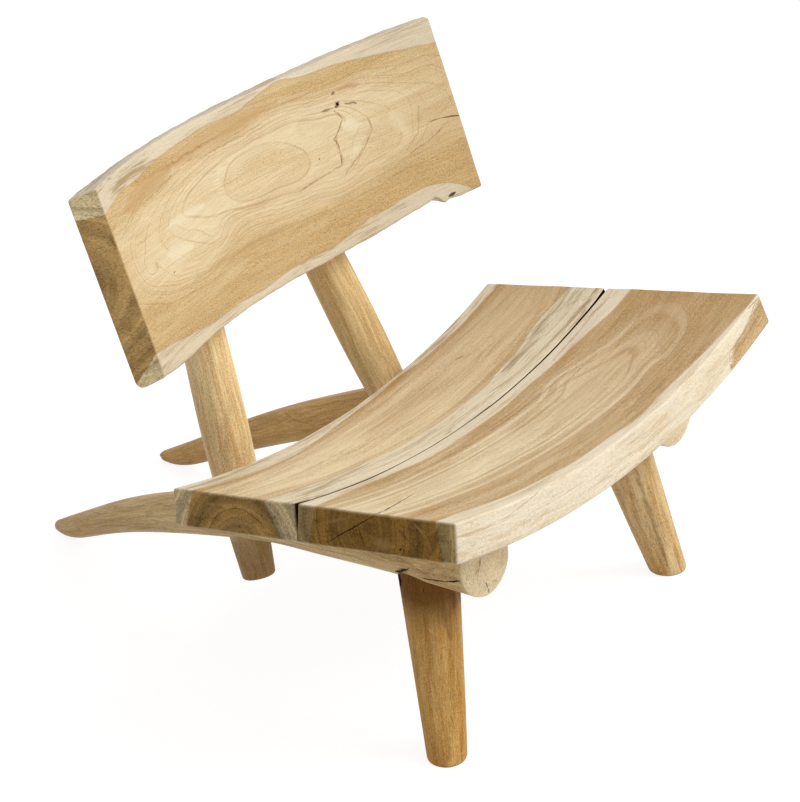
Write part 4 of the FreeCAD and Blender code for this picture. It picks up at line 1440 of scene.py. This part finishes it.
@dataclass
class LiveEdgeBack:
    """Backrest plank, hollow towards the sitter, whose long edges keep the tree's outline."""

    half_width: float = 303.8
    lean: float = 4.0
    rear_half_width: float = 327.0
    front_radius: float = 686.25
    rear_radius: float = 634.75
    thickness: float = 44.0
    height: float = 236.0
    swing: float = 10.0
    recline: float = math.radians(16.8)
    origin: tuple[float, float, float] = (2.5, 491.612, 427.0)
    front_round: float = 3.5
    middle_rear_round: float = 13.0
    end_rear_round: float = 4.0
    end_ease: float = 1.6
    nose_round: float = 11.0
    side_points: tuple[int, ...] = (60, 12, 48, 12)
    middle_stations: int = 243
    ease_points: int = 5
    cap_rings: int = 14
    unevenness: float = 0.5
    sunk: float = 0.3
    worked_skin: Ramp = (-10, 10)
    traced_skin: Ramp = (-40, 40)
    wear_and_shade: float = 0.35
    wear_along: Ramp = (-80, 380)
    wear_and_shade_up: Ramp = (195, -150)
    top_lean: float = 0.2
    bottom_lean: float = 1.2
    bottom_edge: Knots = (
        (-306, -0.6), (-290, -3.4), (-241, -7.8), (-215, -7), (-149, -4), (-25, -2.3), (93, -3.4), (164, -0.4),
        (188, 1.8), (212.6, 4.4), (236, 7.6), (246.5, 8.8), (250.5, 4.2), (254.8, -1.3), (261.8, 0.3), (271.5, -0.8),
        (281, -2.2), (293.8, -1.3), (308, -0.2),
    )
    rear_bottom_edge: Knots = (
        (-327, -6.5), (-290, -8), (-240, -8), (-149, -4), (-25, -2.5), (93, -3), (164, -1), (236, 1), (327, 0.5),
    )
    top_shares: tuple[float, ...] = (-0.82, -0.32, -0.05, -0.04, -0.12, -0.22, -0.2, -0.2, -0.45)
    drop_shares: tuple[float, ...] = (0.1, 0.5, 0.6, 0.45, 0.25, 0.1, 0.0, 0.0, 0.0)
    pith_rise: Knots = ((-330, 128), (-150, 138), (15, 141), (150, 128), (330, 118))
    pith_middle: float = 15.0
    pith_behind: Knots = ((0, 49), (30, 52), (72, 57.7), (143, 64.5), (213, 70), (290, 80), (345, 88))
    heart_top: Knots = (
        (-300, 196.7), (-254, 206), (-201, 210.4), (-152, 216.5), (-107, 219.8), (-65, 221.9), (10, 221), (49, 227.9),
        (85, 231.5), (116, 224.9), (170, 221.4), (234, 211.3), (305, 198.9),
    )
    heart_bottom: Knots = (
        (-300, 27.8), (-240, 19.5), (-159, 10), (-91, 9.8), (-51, 7.7), (-19, 10), (20, 12.7), (92, 11), (130, 18.9),
        (165, 23.8), (175, 24), (205, 27), (235, 29), (261, 24), (284, 12), (297, 1),
    )

    def front_face(self, x: np.ndarray) -> np.ndarray:
        """How far the hollow face has come forward at x: an arc's rise."""
        return self.front_radius - np.sqrt(self.front_radius**2 - x**2)

    def rear_face(self, x: np.ndarray) -> np.ndarray:
        """The same for the rear face, one thickness behind."""
        return self.rear_radius - np.sqrt(self.rear_radius**2 - x**2) - self.thickness

    def swung(self, side: np.ndarray, shares: tuple[float, ...]) -> np.ndarray:
        """Smooth line through shares of the swing that are spaced evenly from end to end."""
        return smooth_line(side, tuple(zip(np.linspace(-1, 1, len(shares)), shares))) * self.swing

    def points(self, x: np.ndarray, facing: np.ndarray, rise: np.ndarray) -> np.ndarray:
        """Place of x across the chair, facing towards the sitter and rise up the slope."""
        up = np.array([0.0, math.sin(self.recline), math.cos(self.recline)])
        out = np.array([0.0, -math.cos(self.recline), math.sin(self.recline)])
        return np.array(self.origin) + x[..., None] * X_AXIS + out * facing[..., None] + up * rise[..., None]

    def plank(self) -> Timber:
        """Plank from end to end, its outline at each station taken from the live edges.

        Returns:
            The outlines; the rings are measured from a heart line behind the hollow face,
            further away towards both ends, so the figure closes into ovals.
        """
        ease, draw, share = eased(self.end_ease, self.ease_points)
        ease = ease / self.half_width
        middle = np.linspace(-1 + ease[0], 1 - ease[0], self.middle_stations)[1:-1]
        side = np.concatenate([-1 + ease[::-1], middle, 1 - ease])
        flat = np.zeros_like(middle)
        inset, end = (np.concatenate([values[::-1], flat, values]) for values in (draw, share))
        wave = 0.25 * np.sin(side * 21 + 1) + 0.2 * np.sin(side * 47 + 2) + 0.15 * np.sin(side * 103)
        front_x, rear_x = side * self.half_width + self.lean, side * self.rear_half_width
        front, rear = self.front_face(front_x), self.rear_face(rear_x)
        top = self.height + self.swung(side, self.top_shares) + wave[::-1]
        corners = np.stack([np.stack(corner, axis=-1) for corner in (
            (front_x, front, smooth_line(front_x, self.bottom_edge) + wave),
            (front_x, front, top),
            (rear_x, rear, top - self.swung(side, self.drop_shares)),
            (rear_x, rear, smooth_line(rear_x, self.rear_bottom_edge) + wave),
        )], axis=1)
        rear_round = self.middle_rear_round + (self.end_rear_round - self.middle_rear_round) * side**4
        nose = rear_round + (self.nose_round - self.end_rear_round) * np.clip(-side, 0, 1) ** 8
        soft = np.full_like(side, self.front_round)
        radii = np.stack([soft, soft, rear_round, nose], axis=1)
        rings = capped(rounded_rings(corners, radii, inset, self.side_points), self.cap_rings)
        end = np.repeat(np.pad(end, self.cap_rings, "edge")[:, None], rings.shape[1], axis=1)
        x, facing, rise = rings[..., 0], rings[..., 1], rings[..., 2]
        through = facing - self.front_face(np.clip(x, self.lean - self.half_width, self.lean + self.half_width))
        sag = ramp(through, self.worked_skin) * (ripple(x, rise, 3.0) * self.unevenness - self.sunk)
        bend = bent_to(BACK_TRACES, self.ring_distance)(x, rise)
        ring = self.ring_distance(x, rise, through) + bend * ramp(through, self.traced_skin)
        patina = self.wear_and_shade * ramp(x, self.wear_along) * ramp(rise, self.wear_and_shade_up)
        grain, heart = np.stack([x, rise, through], axis=-1), self.heart_depth(x, rise, through)
        return Timber(self.points(x, facing + sag, rise), grain, ring, heart, end, patina)

    def ring_distance(self, x: np.ndarray, rise: np.ndarray, through: np.ndarray | float = 0.0) -> np.ndarray:
        """Distance from the pith, a line behind the hollow face that runs deeper towards both ends."""
        behind = smooth_line(np.abs(x - self.pith_middle), self.pith_behind)
        return np.hypot(rise - smooth_line(x, self.pith_rise), through + behind)

    def heart_depth(self, x: np.ndarray, rise: np.ndarray, through: np.ndarray) -> np.ndarray:
        """How far inside the heartwood a point lies, between its top and bottom lines."""
        top = smooth_line(x, self.heart_top) - self.top_lean * through
        bottom = smooth_line(x, self.heart_bottom) + self.bottom_lean * through
        return np.minimum(top - rise, rise - bottom)

    def build(self, effects: TeakEffects) -> None:
        """Makes the plank and dresses it."""
        placed(self.plank().mesh("back_plank"), BACK_FINISH.material(effects), "backrest")


@dataclass
class PairedPiece:
    """A round piece of which the chair has a left and a right one.

    The label starts the piece's name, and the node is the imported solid's without its side.
    """

    side: Side
    label: ClassVar[str]
    node: ClassVar[str]
    slot: ClassVar[str]

    def timber(self) -> Timber:
        """The piece's outlines."""
        raise NotImplementedError

    def build(self, material: bpy.types.Material) -> None:
        """Makes the piece and dresses it."""
        side = self.side.name.lower()
        placed(self.timber().mesh(f"{self.label}_{side}"), material, f"{self.node}_{side}")


@dataclass
class TuskRail(PairedPiece):
    """Round rail that tapers from a domed disc under the seat to a tip on the floor."""

    label: ClassVar[str] = "rail"
    node: ClassVar[str] = "tusk_rail"
    slot: ClassVar[str] = "rail_teak"
    stations: int = 200
    points_round: int = 72
    front_dome: float = 9.0
    front_round: float = 1.4
    skin_gap: float = 0.25
    closer_to_tip: float = 0.95
    tip_span: Ramp = (790, 98)
    disc_edge: float = 3.0
    wear_and_shade: float = 0.6
    wear_along: Ramp = (300, 500)
    spine: tuple[tuple[float, float, float, float], ...] = (
        (196, 63.5, 258.8, 43.0), (194.43, 146, 247.54, 38.49), (189.65, 228.5, 234.21, 35.48),
        (182.17, 311, 219.14, 33.76), (172.86, 393.5, 202.98, 32.9), (162.16, 476, 177.05, 30.96),
        (150.76, 558.5, 148.24, 28.68), (139.28, 641, 116.6, 26.1), (128.14, 723.5, 80.5, 22.45),
        (120.92, 781.25, 51.97, 19.69), (117.09, 814.25, 34.62, 18.28), (114.22, 839, 21.45, 16.68),
        (112.13, 857.98, 12.68, 13.98), (110.65, 872, 7.49, 10.41), (109.61, 881.9, 4.7, 6.67),
        (109, 888.2, 3.6, 0.8),
    )
    tip_moves: ClassVar[dict[Side, tuple[float, float]]] = {Side.LEFT: (7.5, 5.0), Side.RIGHT: (3.6, 3.4)}
    pith_across: Knots = ((0, -6), (200, 2), (500, 6), (840, 0))
    pith_upward: Knots = ((0, 8), (200, 14), (500, 10), (840, 2))

    def disc(self, rim: float) -> tuple[np.ndarray, np.ndarray]:
        """Radius and height of the rings that close the front, from its middle out to the rim.

        The dome's height over the disc is d - (B - sqrt(B^2 - r^2)), where B is the
        radius of the ball that it is cut from.

        Args:
            rim: radius of the disc.

        Returns:
            The rings' radii and their heights over the rail's first centre.
        """
        ball = (rim**2 + self.front_dome**2) / (2 * self.front_dome)
        t = np.linspace(0, 1, EASED_POINTS)
        edge_r = (1 - t) ** 2 * rim + 2 * t * (1 - t) * rim + t**2 * (rim - self.front_round)
        lift = self.front_dome - (ball - math.sqrt(ball**2 - (rim - self.front_round) ** 2))
        edge_z = -((1 - t) ** 2) * self.front_round + t**2 * lift
        dome_r = (rim - self.front_round) * np.linspace(1, 0.01, 16)[1:]
        dome_z = self.front_dome - (ball - np.sqrt(ball**2 - dome_r**2))
        return np.concatenate([edge_r, dome_r])[::-1], np.concatenate([edge_z, dome_z])[::-1]

    def timber(self) -> Timber:
        """Rings along the spine, with the domed disc in front, planed off at the floor."""
        spine = np.array(self.spine)
        y = spine[0, 1] + (spine[-1, 1] - spine[0, 1]) * np.linspace(0, 1, self.stations) ** self.closer_to_tip
        x, z, radius = (smooth_line(y, tuple(zip(spine[:, 1], spine[:, k]))) for k in (0, 2, 3))
        past = ramp(y, self.tip_span) ** 2
        reach, lift = self.tip_moves[self.side]
        centres = np.stack([x, y + past * reach, z + past * lift], axis=-1)
        first = unit(centres[1] - centres[0])
        cap_r, cap_z = self.disc(radius[0])
        start = int(np.searchsorted(y, y[0] + self.front_round)) + 1
        along = np.concatenate([-cap_z, np.linalg.norm(centres[start:] - centres[0], axis=1)])[:, None]
        path = np.concatenate([centres[0] - first * cap_z[:, None], centres[start:]])
        onward = unit(np.gradient(centres, axis=0))[start:]
        headings = np.concatenate([np.repeat(first[None], len(cap_r), axis=0), onward])
        angle = full_turn(self.points_round)
        worked = 1 + 0.008 * np.sin(3 * angle + along * 0.02) + 0.006 * np.sin(5 * angle - along * 0.013)
        radii = np.concatenate([cap_r, radius[start:]])[:, None] * worked - self.skin_gap
        rings, across, upward = tube(path, headings, radii)
        rings[..., 2] = np.maximum(rings[..., 2], 0.0)
        rings[..., 0] *= self.side.value
        along = np.repeat(along, self.points_round, axis=1)
        ring = np.hypot(across - smooth_line(along, self.pith_across), upward - smooth_line(along, self.pith_upward))
        end = ramp(along, (self.front_round + 1, -self.disc_edge))
        patina = self.wear_and_shade * ramp(along, self.wear_along)
        grain = np.stack([along, across, upward], axis=-1)
        return Timber(rings, grain, ring, np.full_like(ring, DEEP_IN_HEART), end, patina)


@dataclass
class FrontLeg(PairedPiece):
    """Round leg that swells from its foot up to the rail."""

    label: ClassVar[str] = "leg"
    node: ClassVar[str] = "front_leg"
    slot: ClassVar[str] = "leg_teak"
    feet: ClassVar[dict[Side, Rgb]] = {Side.LEFT: (234.4, 103.4, 0.0), Side.RIGHT: (241.6, 105.6, 0.0)}
    meet: tuple[float, float, float] = (187.09, 154.42, 246.28)
    foot_radius: float = 23.8
    top_radius: float = 37.5
    foot_round: float = 3.5
    top_gap: float = 6.0
    stations: int = 90
    cap_rings: int = 10
    points_round: int = 64
    pith: tuple[float, float] = (5.0, -4.0)
    pith_drift: float = 0.03
    # Painted shade: the patina darkens the leg towards its top, under the rail's disc.
    wear_and_shade: tuple[float, float] = (0.3, 0.6)
    wear_and_shade_up: tuple[Ramp, Ramp] = ((90, 120), (165, 35))

    def timber(self) -> Timber:
        """Rings from the level foot to inside the rail: r grows evenly with height."""
        foot, meet = np.array(self.feet[self.side]), np.array(self.meet)
        ease, draw, _ = eased(self.foot_round, EASED_POINTS)
        above = np.linspace(self.foot_round, self.meet[2] - self.top_gap, self.stations)[1:]
        heights = np.concatenate([ease[::-1], above])
        shares = (heights / self.meet[2])[:, None]
        inset = np.pad(draw[::-1], (0, len(heights) - len(draw)))[:, None]
        angle = full_turn(self.points_round)
        worked = 1 + 0.008 * np.sin(3 * angle + shares * 5) + 0.004 * np.sin(7 * angle - shares * 9)
        radii = (self.foot_radius + (self.top_radius - self.foot_radius) * shares - inset) * worked
        # The rings lie level, so that the foot is flat, and are stretched to stay round across the axis
        axis = unit(meet - foot)
        stretch = 1 / np.sqrt(1 - (np.cos(angle) * axis[0] + np.sin(angle) * axis[1]) ** 2)
        across, along_y = radii * stretch * np.cos(angle), radii * stretch * np.sin(angle)
        rings = (foot + (meet - foot) * shares)[:, None] + np.stack([across, along_y, np.zeros_like(across)], axis=-1)
        rings = capped_start(rings, self.cap_rings)
        rings[..., 0] *= self.side.value
        height = rings[..., 2]
        away = rings - (foot + (meet - foot) * (height / self.meet[2])[..., None]) * np.array([self.side.value, 1, 1])
        grain = np.stack([height, away[..., 0], away[..., 1]], axis=-1)
        ring = np.hypot(away[..., 0] - self.pith[0], away[..., 1] - self.pith[1] - height * self.pith_drift)
        end = ramp(height, (self.foot_round, -self.foot_round))
        patina = sum(wear_and_shade * ramp(height, span) for wear_and_shade, span in zip(self.wear_and_shade, self.wear_and_shade_up))
        return Timber(rings, grain, ring, np.full_like(ring, DEEP_IN_HEART), end, patina)


@dataclass
class RearPost(PairedPiece):
    """Turned post through the rail, leaning back to carry the backrest."""

    label: ClassVar[str] = "post"
    node: ClassVar[str] = "rear_post"
    slot: ClassVar[str] = "post_teak"
    crossings: ClassVar[dict[Side, Rgb]] = {Side.LEFT: (153.2, 469.593, 179.408), Side.RIGHT: (157.4, 469.593, 179.408)}
    axis: tuple[float, float, float] = (-0.16237, 0.30000, 0.94002)
    profile: Knots = ((-85, 21), (0, 26.8), (95, 30), (263.4, 28), (461, 24.5))
    end_round: float = 5.0
    end_band: float = 2.5
    skin_gap: float = 0.2
    middle_stations: int = 120
    cap_rings: int = 8
    points_round: int = 64
    pith: tuple[float, float] = (-4.0, 6.0)
    pith_drift: float = 0.01
    # Painted shade: the patina darkens the post below the rail, under the seat.
    wear_and_shade: float = 0.65
    shade_below_rail: Ramp = (0, -35)

    def timber(self) -> Timber:
        """Rings along the straight axis, with the ends rounded over and closed flat."""
        low, high = self.profile[0][0], self.profile[-1][0]
        ease, draw, _ = eased(self.end_round, EASED_POINTS)
        middle = np.linspace(low + self.end_round, high - self.end_round, self.middle_stations)[1:-1]
        along = np.concatenate([low + ease[::-1], middle, high - ease])[:, None]
        inset = np.concatenate([draw[::-1], np.zeros_like(middle), draw])[:, None]
        angle = full_turn(self.points_round)
        worked = 1 + 0.008 * np.sin(2 * angle + along * 0.012) + 0.005 * np.sin(5 * angle)
        radii = (smooth_line(along, self.profile) - inset - self.skin_gap) * worked
        centres = np.array(self.crossings[self.side]) + unit(np.array(self.axis)) * along
        rings, across, behind = tube(centres, unit(np.gradient(centres, axis=0)), radii)
        grain = np.stack([np.repeat(along, self.points_round, axis=1), across, behind], axis=-1)
        rings, grain = np.split(capped(np.concatenate([rings, grain], axis=-1), self.cap_rings), 2, axis=-1)
        rings[..., 0] *= self.side.value
        along = grain[..., 0]
        ring = np.hypot(grain[..., 1] - self.pith[0], grain[..., 2] - self.pith[1] + along * self.pith_drift)
        end = ramp(np.maximum(low - along, along - high), (-self.end_band, self.end_band))
        patina = self.wear_and_shade * ramp(along, self.shade_below_rail)
        return Timber(rings, grain, ring, np.full_like(ring, DEEP_IN_HEART), end, patina)


@dataclass
class Fixings:
    """Screws, plugs, dowels and pegs, which keep their own solids."""

    nodes: dict[str, bpy.types.Object]

    def build(self, effects: TeakEffects) -> None:
        """Puts each small piece's finish in its own material slots."""
        plug, dowel, steel = (made.material(effects) for made in (PLUG_FINISH, DOWEL_FINISH, SCREW_FINISH))
        wanted = {
            "seat_screw_plugs": plug,
            "back_screw_plugs": plug,
            "leg_tenon_pegs": plug,
            "post_lock_pegs": plug,
            "seat_seam_dowels": dowel,
            "seat_screws": steel,
            "back_screws": steel,
        }
        for name, material in wanted.items():
            for socket in self.nodes[name].material_slots:
                socket.material = material
            LOG.info("%s: dressed in %s", name, material.name)


@dataclass
class Studio:
    """White sweep, soft light from the front, the right and above, and the camera."""

    camera_place: Rgb = (-1.94029717, -1.76760062, 1.65255105)
    camera_right: Rgb = (0.61366276, -0.78505662, -0.08428594)
    camera_up: Rgb = (0.41669992, 0.23134157, 0.87911447)
    camera_back: Rgb = (-0.6706558, -0.57460176, 0.46909873)
    focal_pixels: float = 2344.0
    picture_height: float = 802.0
    sensor: float = 36.0
    clip_range: tuple[float, float] = (0.05, 100.0)
    key_target: Rgb = (0.0, -0.1, 0.3)
    key_direction: Rgb = (0.42, -0.58, 0.69)
    key_distance: float = 4.0
    key_size: float = 2.4
    key_power: float = 106.0
    ambient: float = 0.5
    floor_reach: float = 30.0
    floor_pale: Rgb = (0.8, 0.79, 0.78)
    floor_faint: Rgb = (0.3, 0.3, 0.3)
    floor_glow: float = 0.86

    def build(self) -> None:
        """Makes the world, the floor, the lamp and the camera."""
        bpy.context.scene.view_settings.view_transform = "Standard"
        self.make_world()
        self.make_floor()
        self.make_lamp()
        self.make_camera()

    def make_world(self) -> None:
        """White where it is seen, and a plain soft light elsewhere."""
        world = bpy.data.worlds.new("studio_white")
        bpy.context.scene.world = world
        world.use_nodes = True
        world.node_tree.nodes.clear()
        g = Graph(world.node_tree)
        strength = g.seen_ray() * (1.0 - self.ambient) + self.ambient
        backdrop = g.out("ShaderNodeBackground", {"Color": (1.0, 1.0, 1.0, 1.0), "Strength": strength})
        g.node("ShaderNodeOutputWorld", {"Surface": backdrop})

    def make_floor(self) -> None:
        """Pale floor that looks white and keeps a faint shadow."""
        data = bpy.data.meshes.new("floor")
        corners = [(x * self.floor_reach, y * self.floor_reach, 0) for x, y in ((-1, -1), (1, -1), (1, 1), (-1, 1))]
        data.from_pydata(corners, [], [(0, 1, 2, 3)])
        floor = linked("floor", data)
        made, g = new_material("floor_white")
        plain = g.out("ShaderNodeBsdfDiffuse", {"Color": (*self.floor_pale, 1.0)})
        faint = g.out("ShaderNodeBsdfDiffuse", {"Color": (*self.floor_faint, 1.0)})
        glow = g.out("ShaderNodeEmission", {"Strength": self.floor_glow})
        both = g.out("ShaderNodeAddShader", {0: faint, 1: glow})
        choice = g.out("ShaderNodeMixShader", {0: g.seen_ray(), 1: plain, 2: both})
        g.node("ShaderNodeOutputMaterial", {"Surface": choice})
        data.materials.append(made)

    def make_lamp(self) -> None:
        """One large soft lamp."""
        light = bpy.data.lights.new("key", "AREA")
        light.shape = "SQUARE"
        light.size = self.key_size
        light.energy = self.key_power
        lamp = linked("key", light)
        direction = Vector(self.key_direction).normalized()
        lamp.location = Vector(self.key_target) + direction * self.key_distance
        lamp.rotation_euler = direction.to_track_quat("Z", "Y").to_euler()

    def make_camera(self) -> None:
        """Camera where the photograph was taken from."""
        data = bpy.data.cameras.new("camera")
        data.sensor_width = self.sensor
        data.lens = self.focal_pixels / self.picture_height * self.sensor
        data.clip_start, data.clip_end = self.clip_range
        camera = linked("camera", data)
        axes = Matrix((self.camera_right, self.camera_up, self.camera_back)).transposed()
        camera.matrix_world = Matrix.Translation(Vector(self.camera_place)) @ axes.to_4x4()
        bpy.context.scene.camera = camera


def main() -> None:
    """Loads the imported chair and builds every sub-assembly over it."""
    logging.basicConfig(level=logging.INFO, format="%(name)s: %(message)s")
    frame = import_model()
    effects = TeakEffects()
    Studio().build()
    DishedSeat().build(effects)
    LiveEdgeBack().build(effects)
    for side, finishes in PAIRED_FINISHES.items():
        rail, leg, post = (finish.material(effects) for finish in finishes)
        TuskRail(side).build(rail)
        FrontLeg(side).build(leg)
        RearPost(side).build(post)
    Fixings(frame["nodes"]).build(effects)


if __name__ == "__main__":
    main()
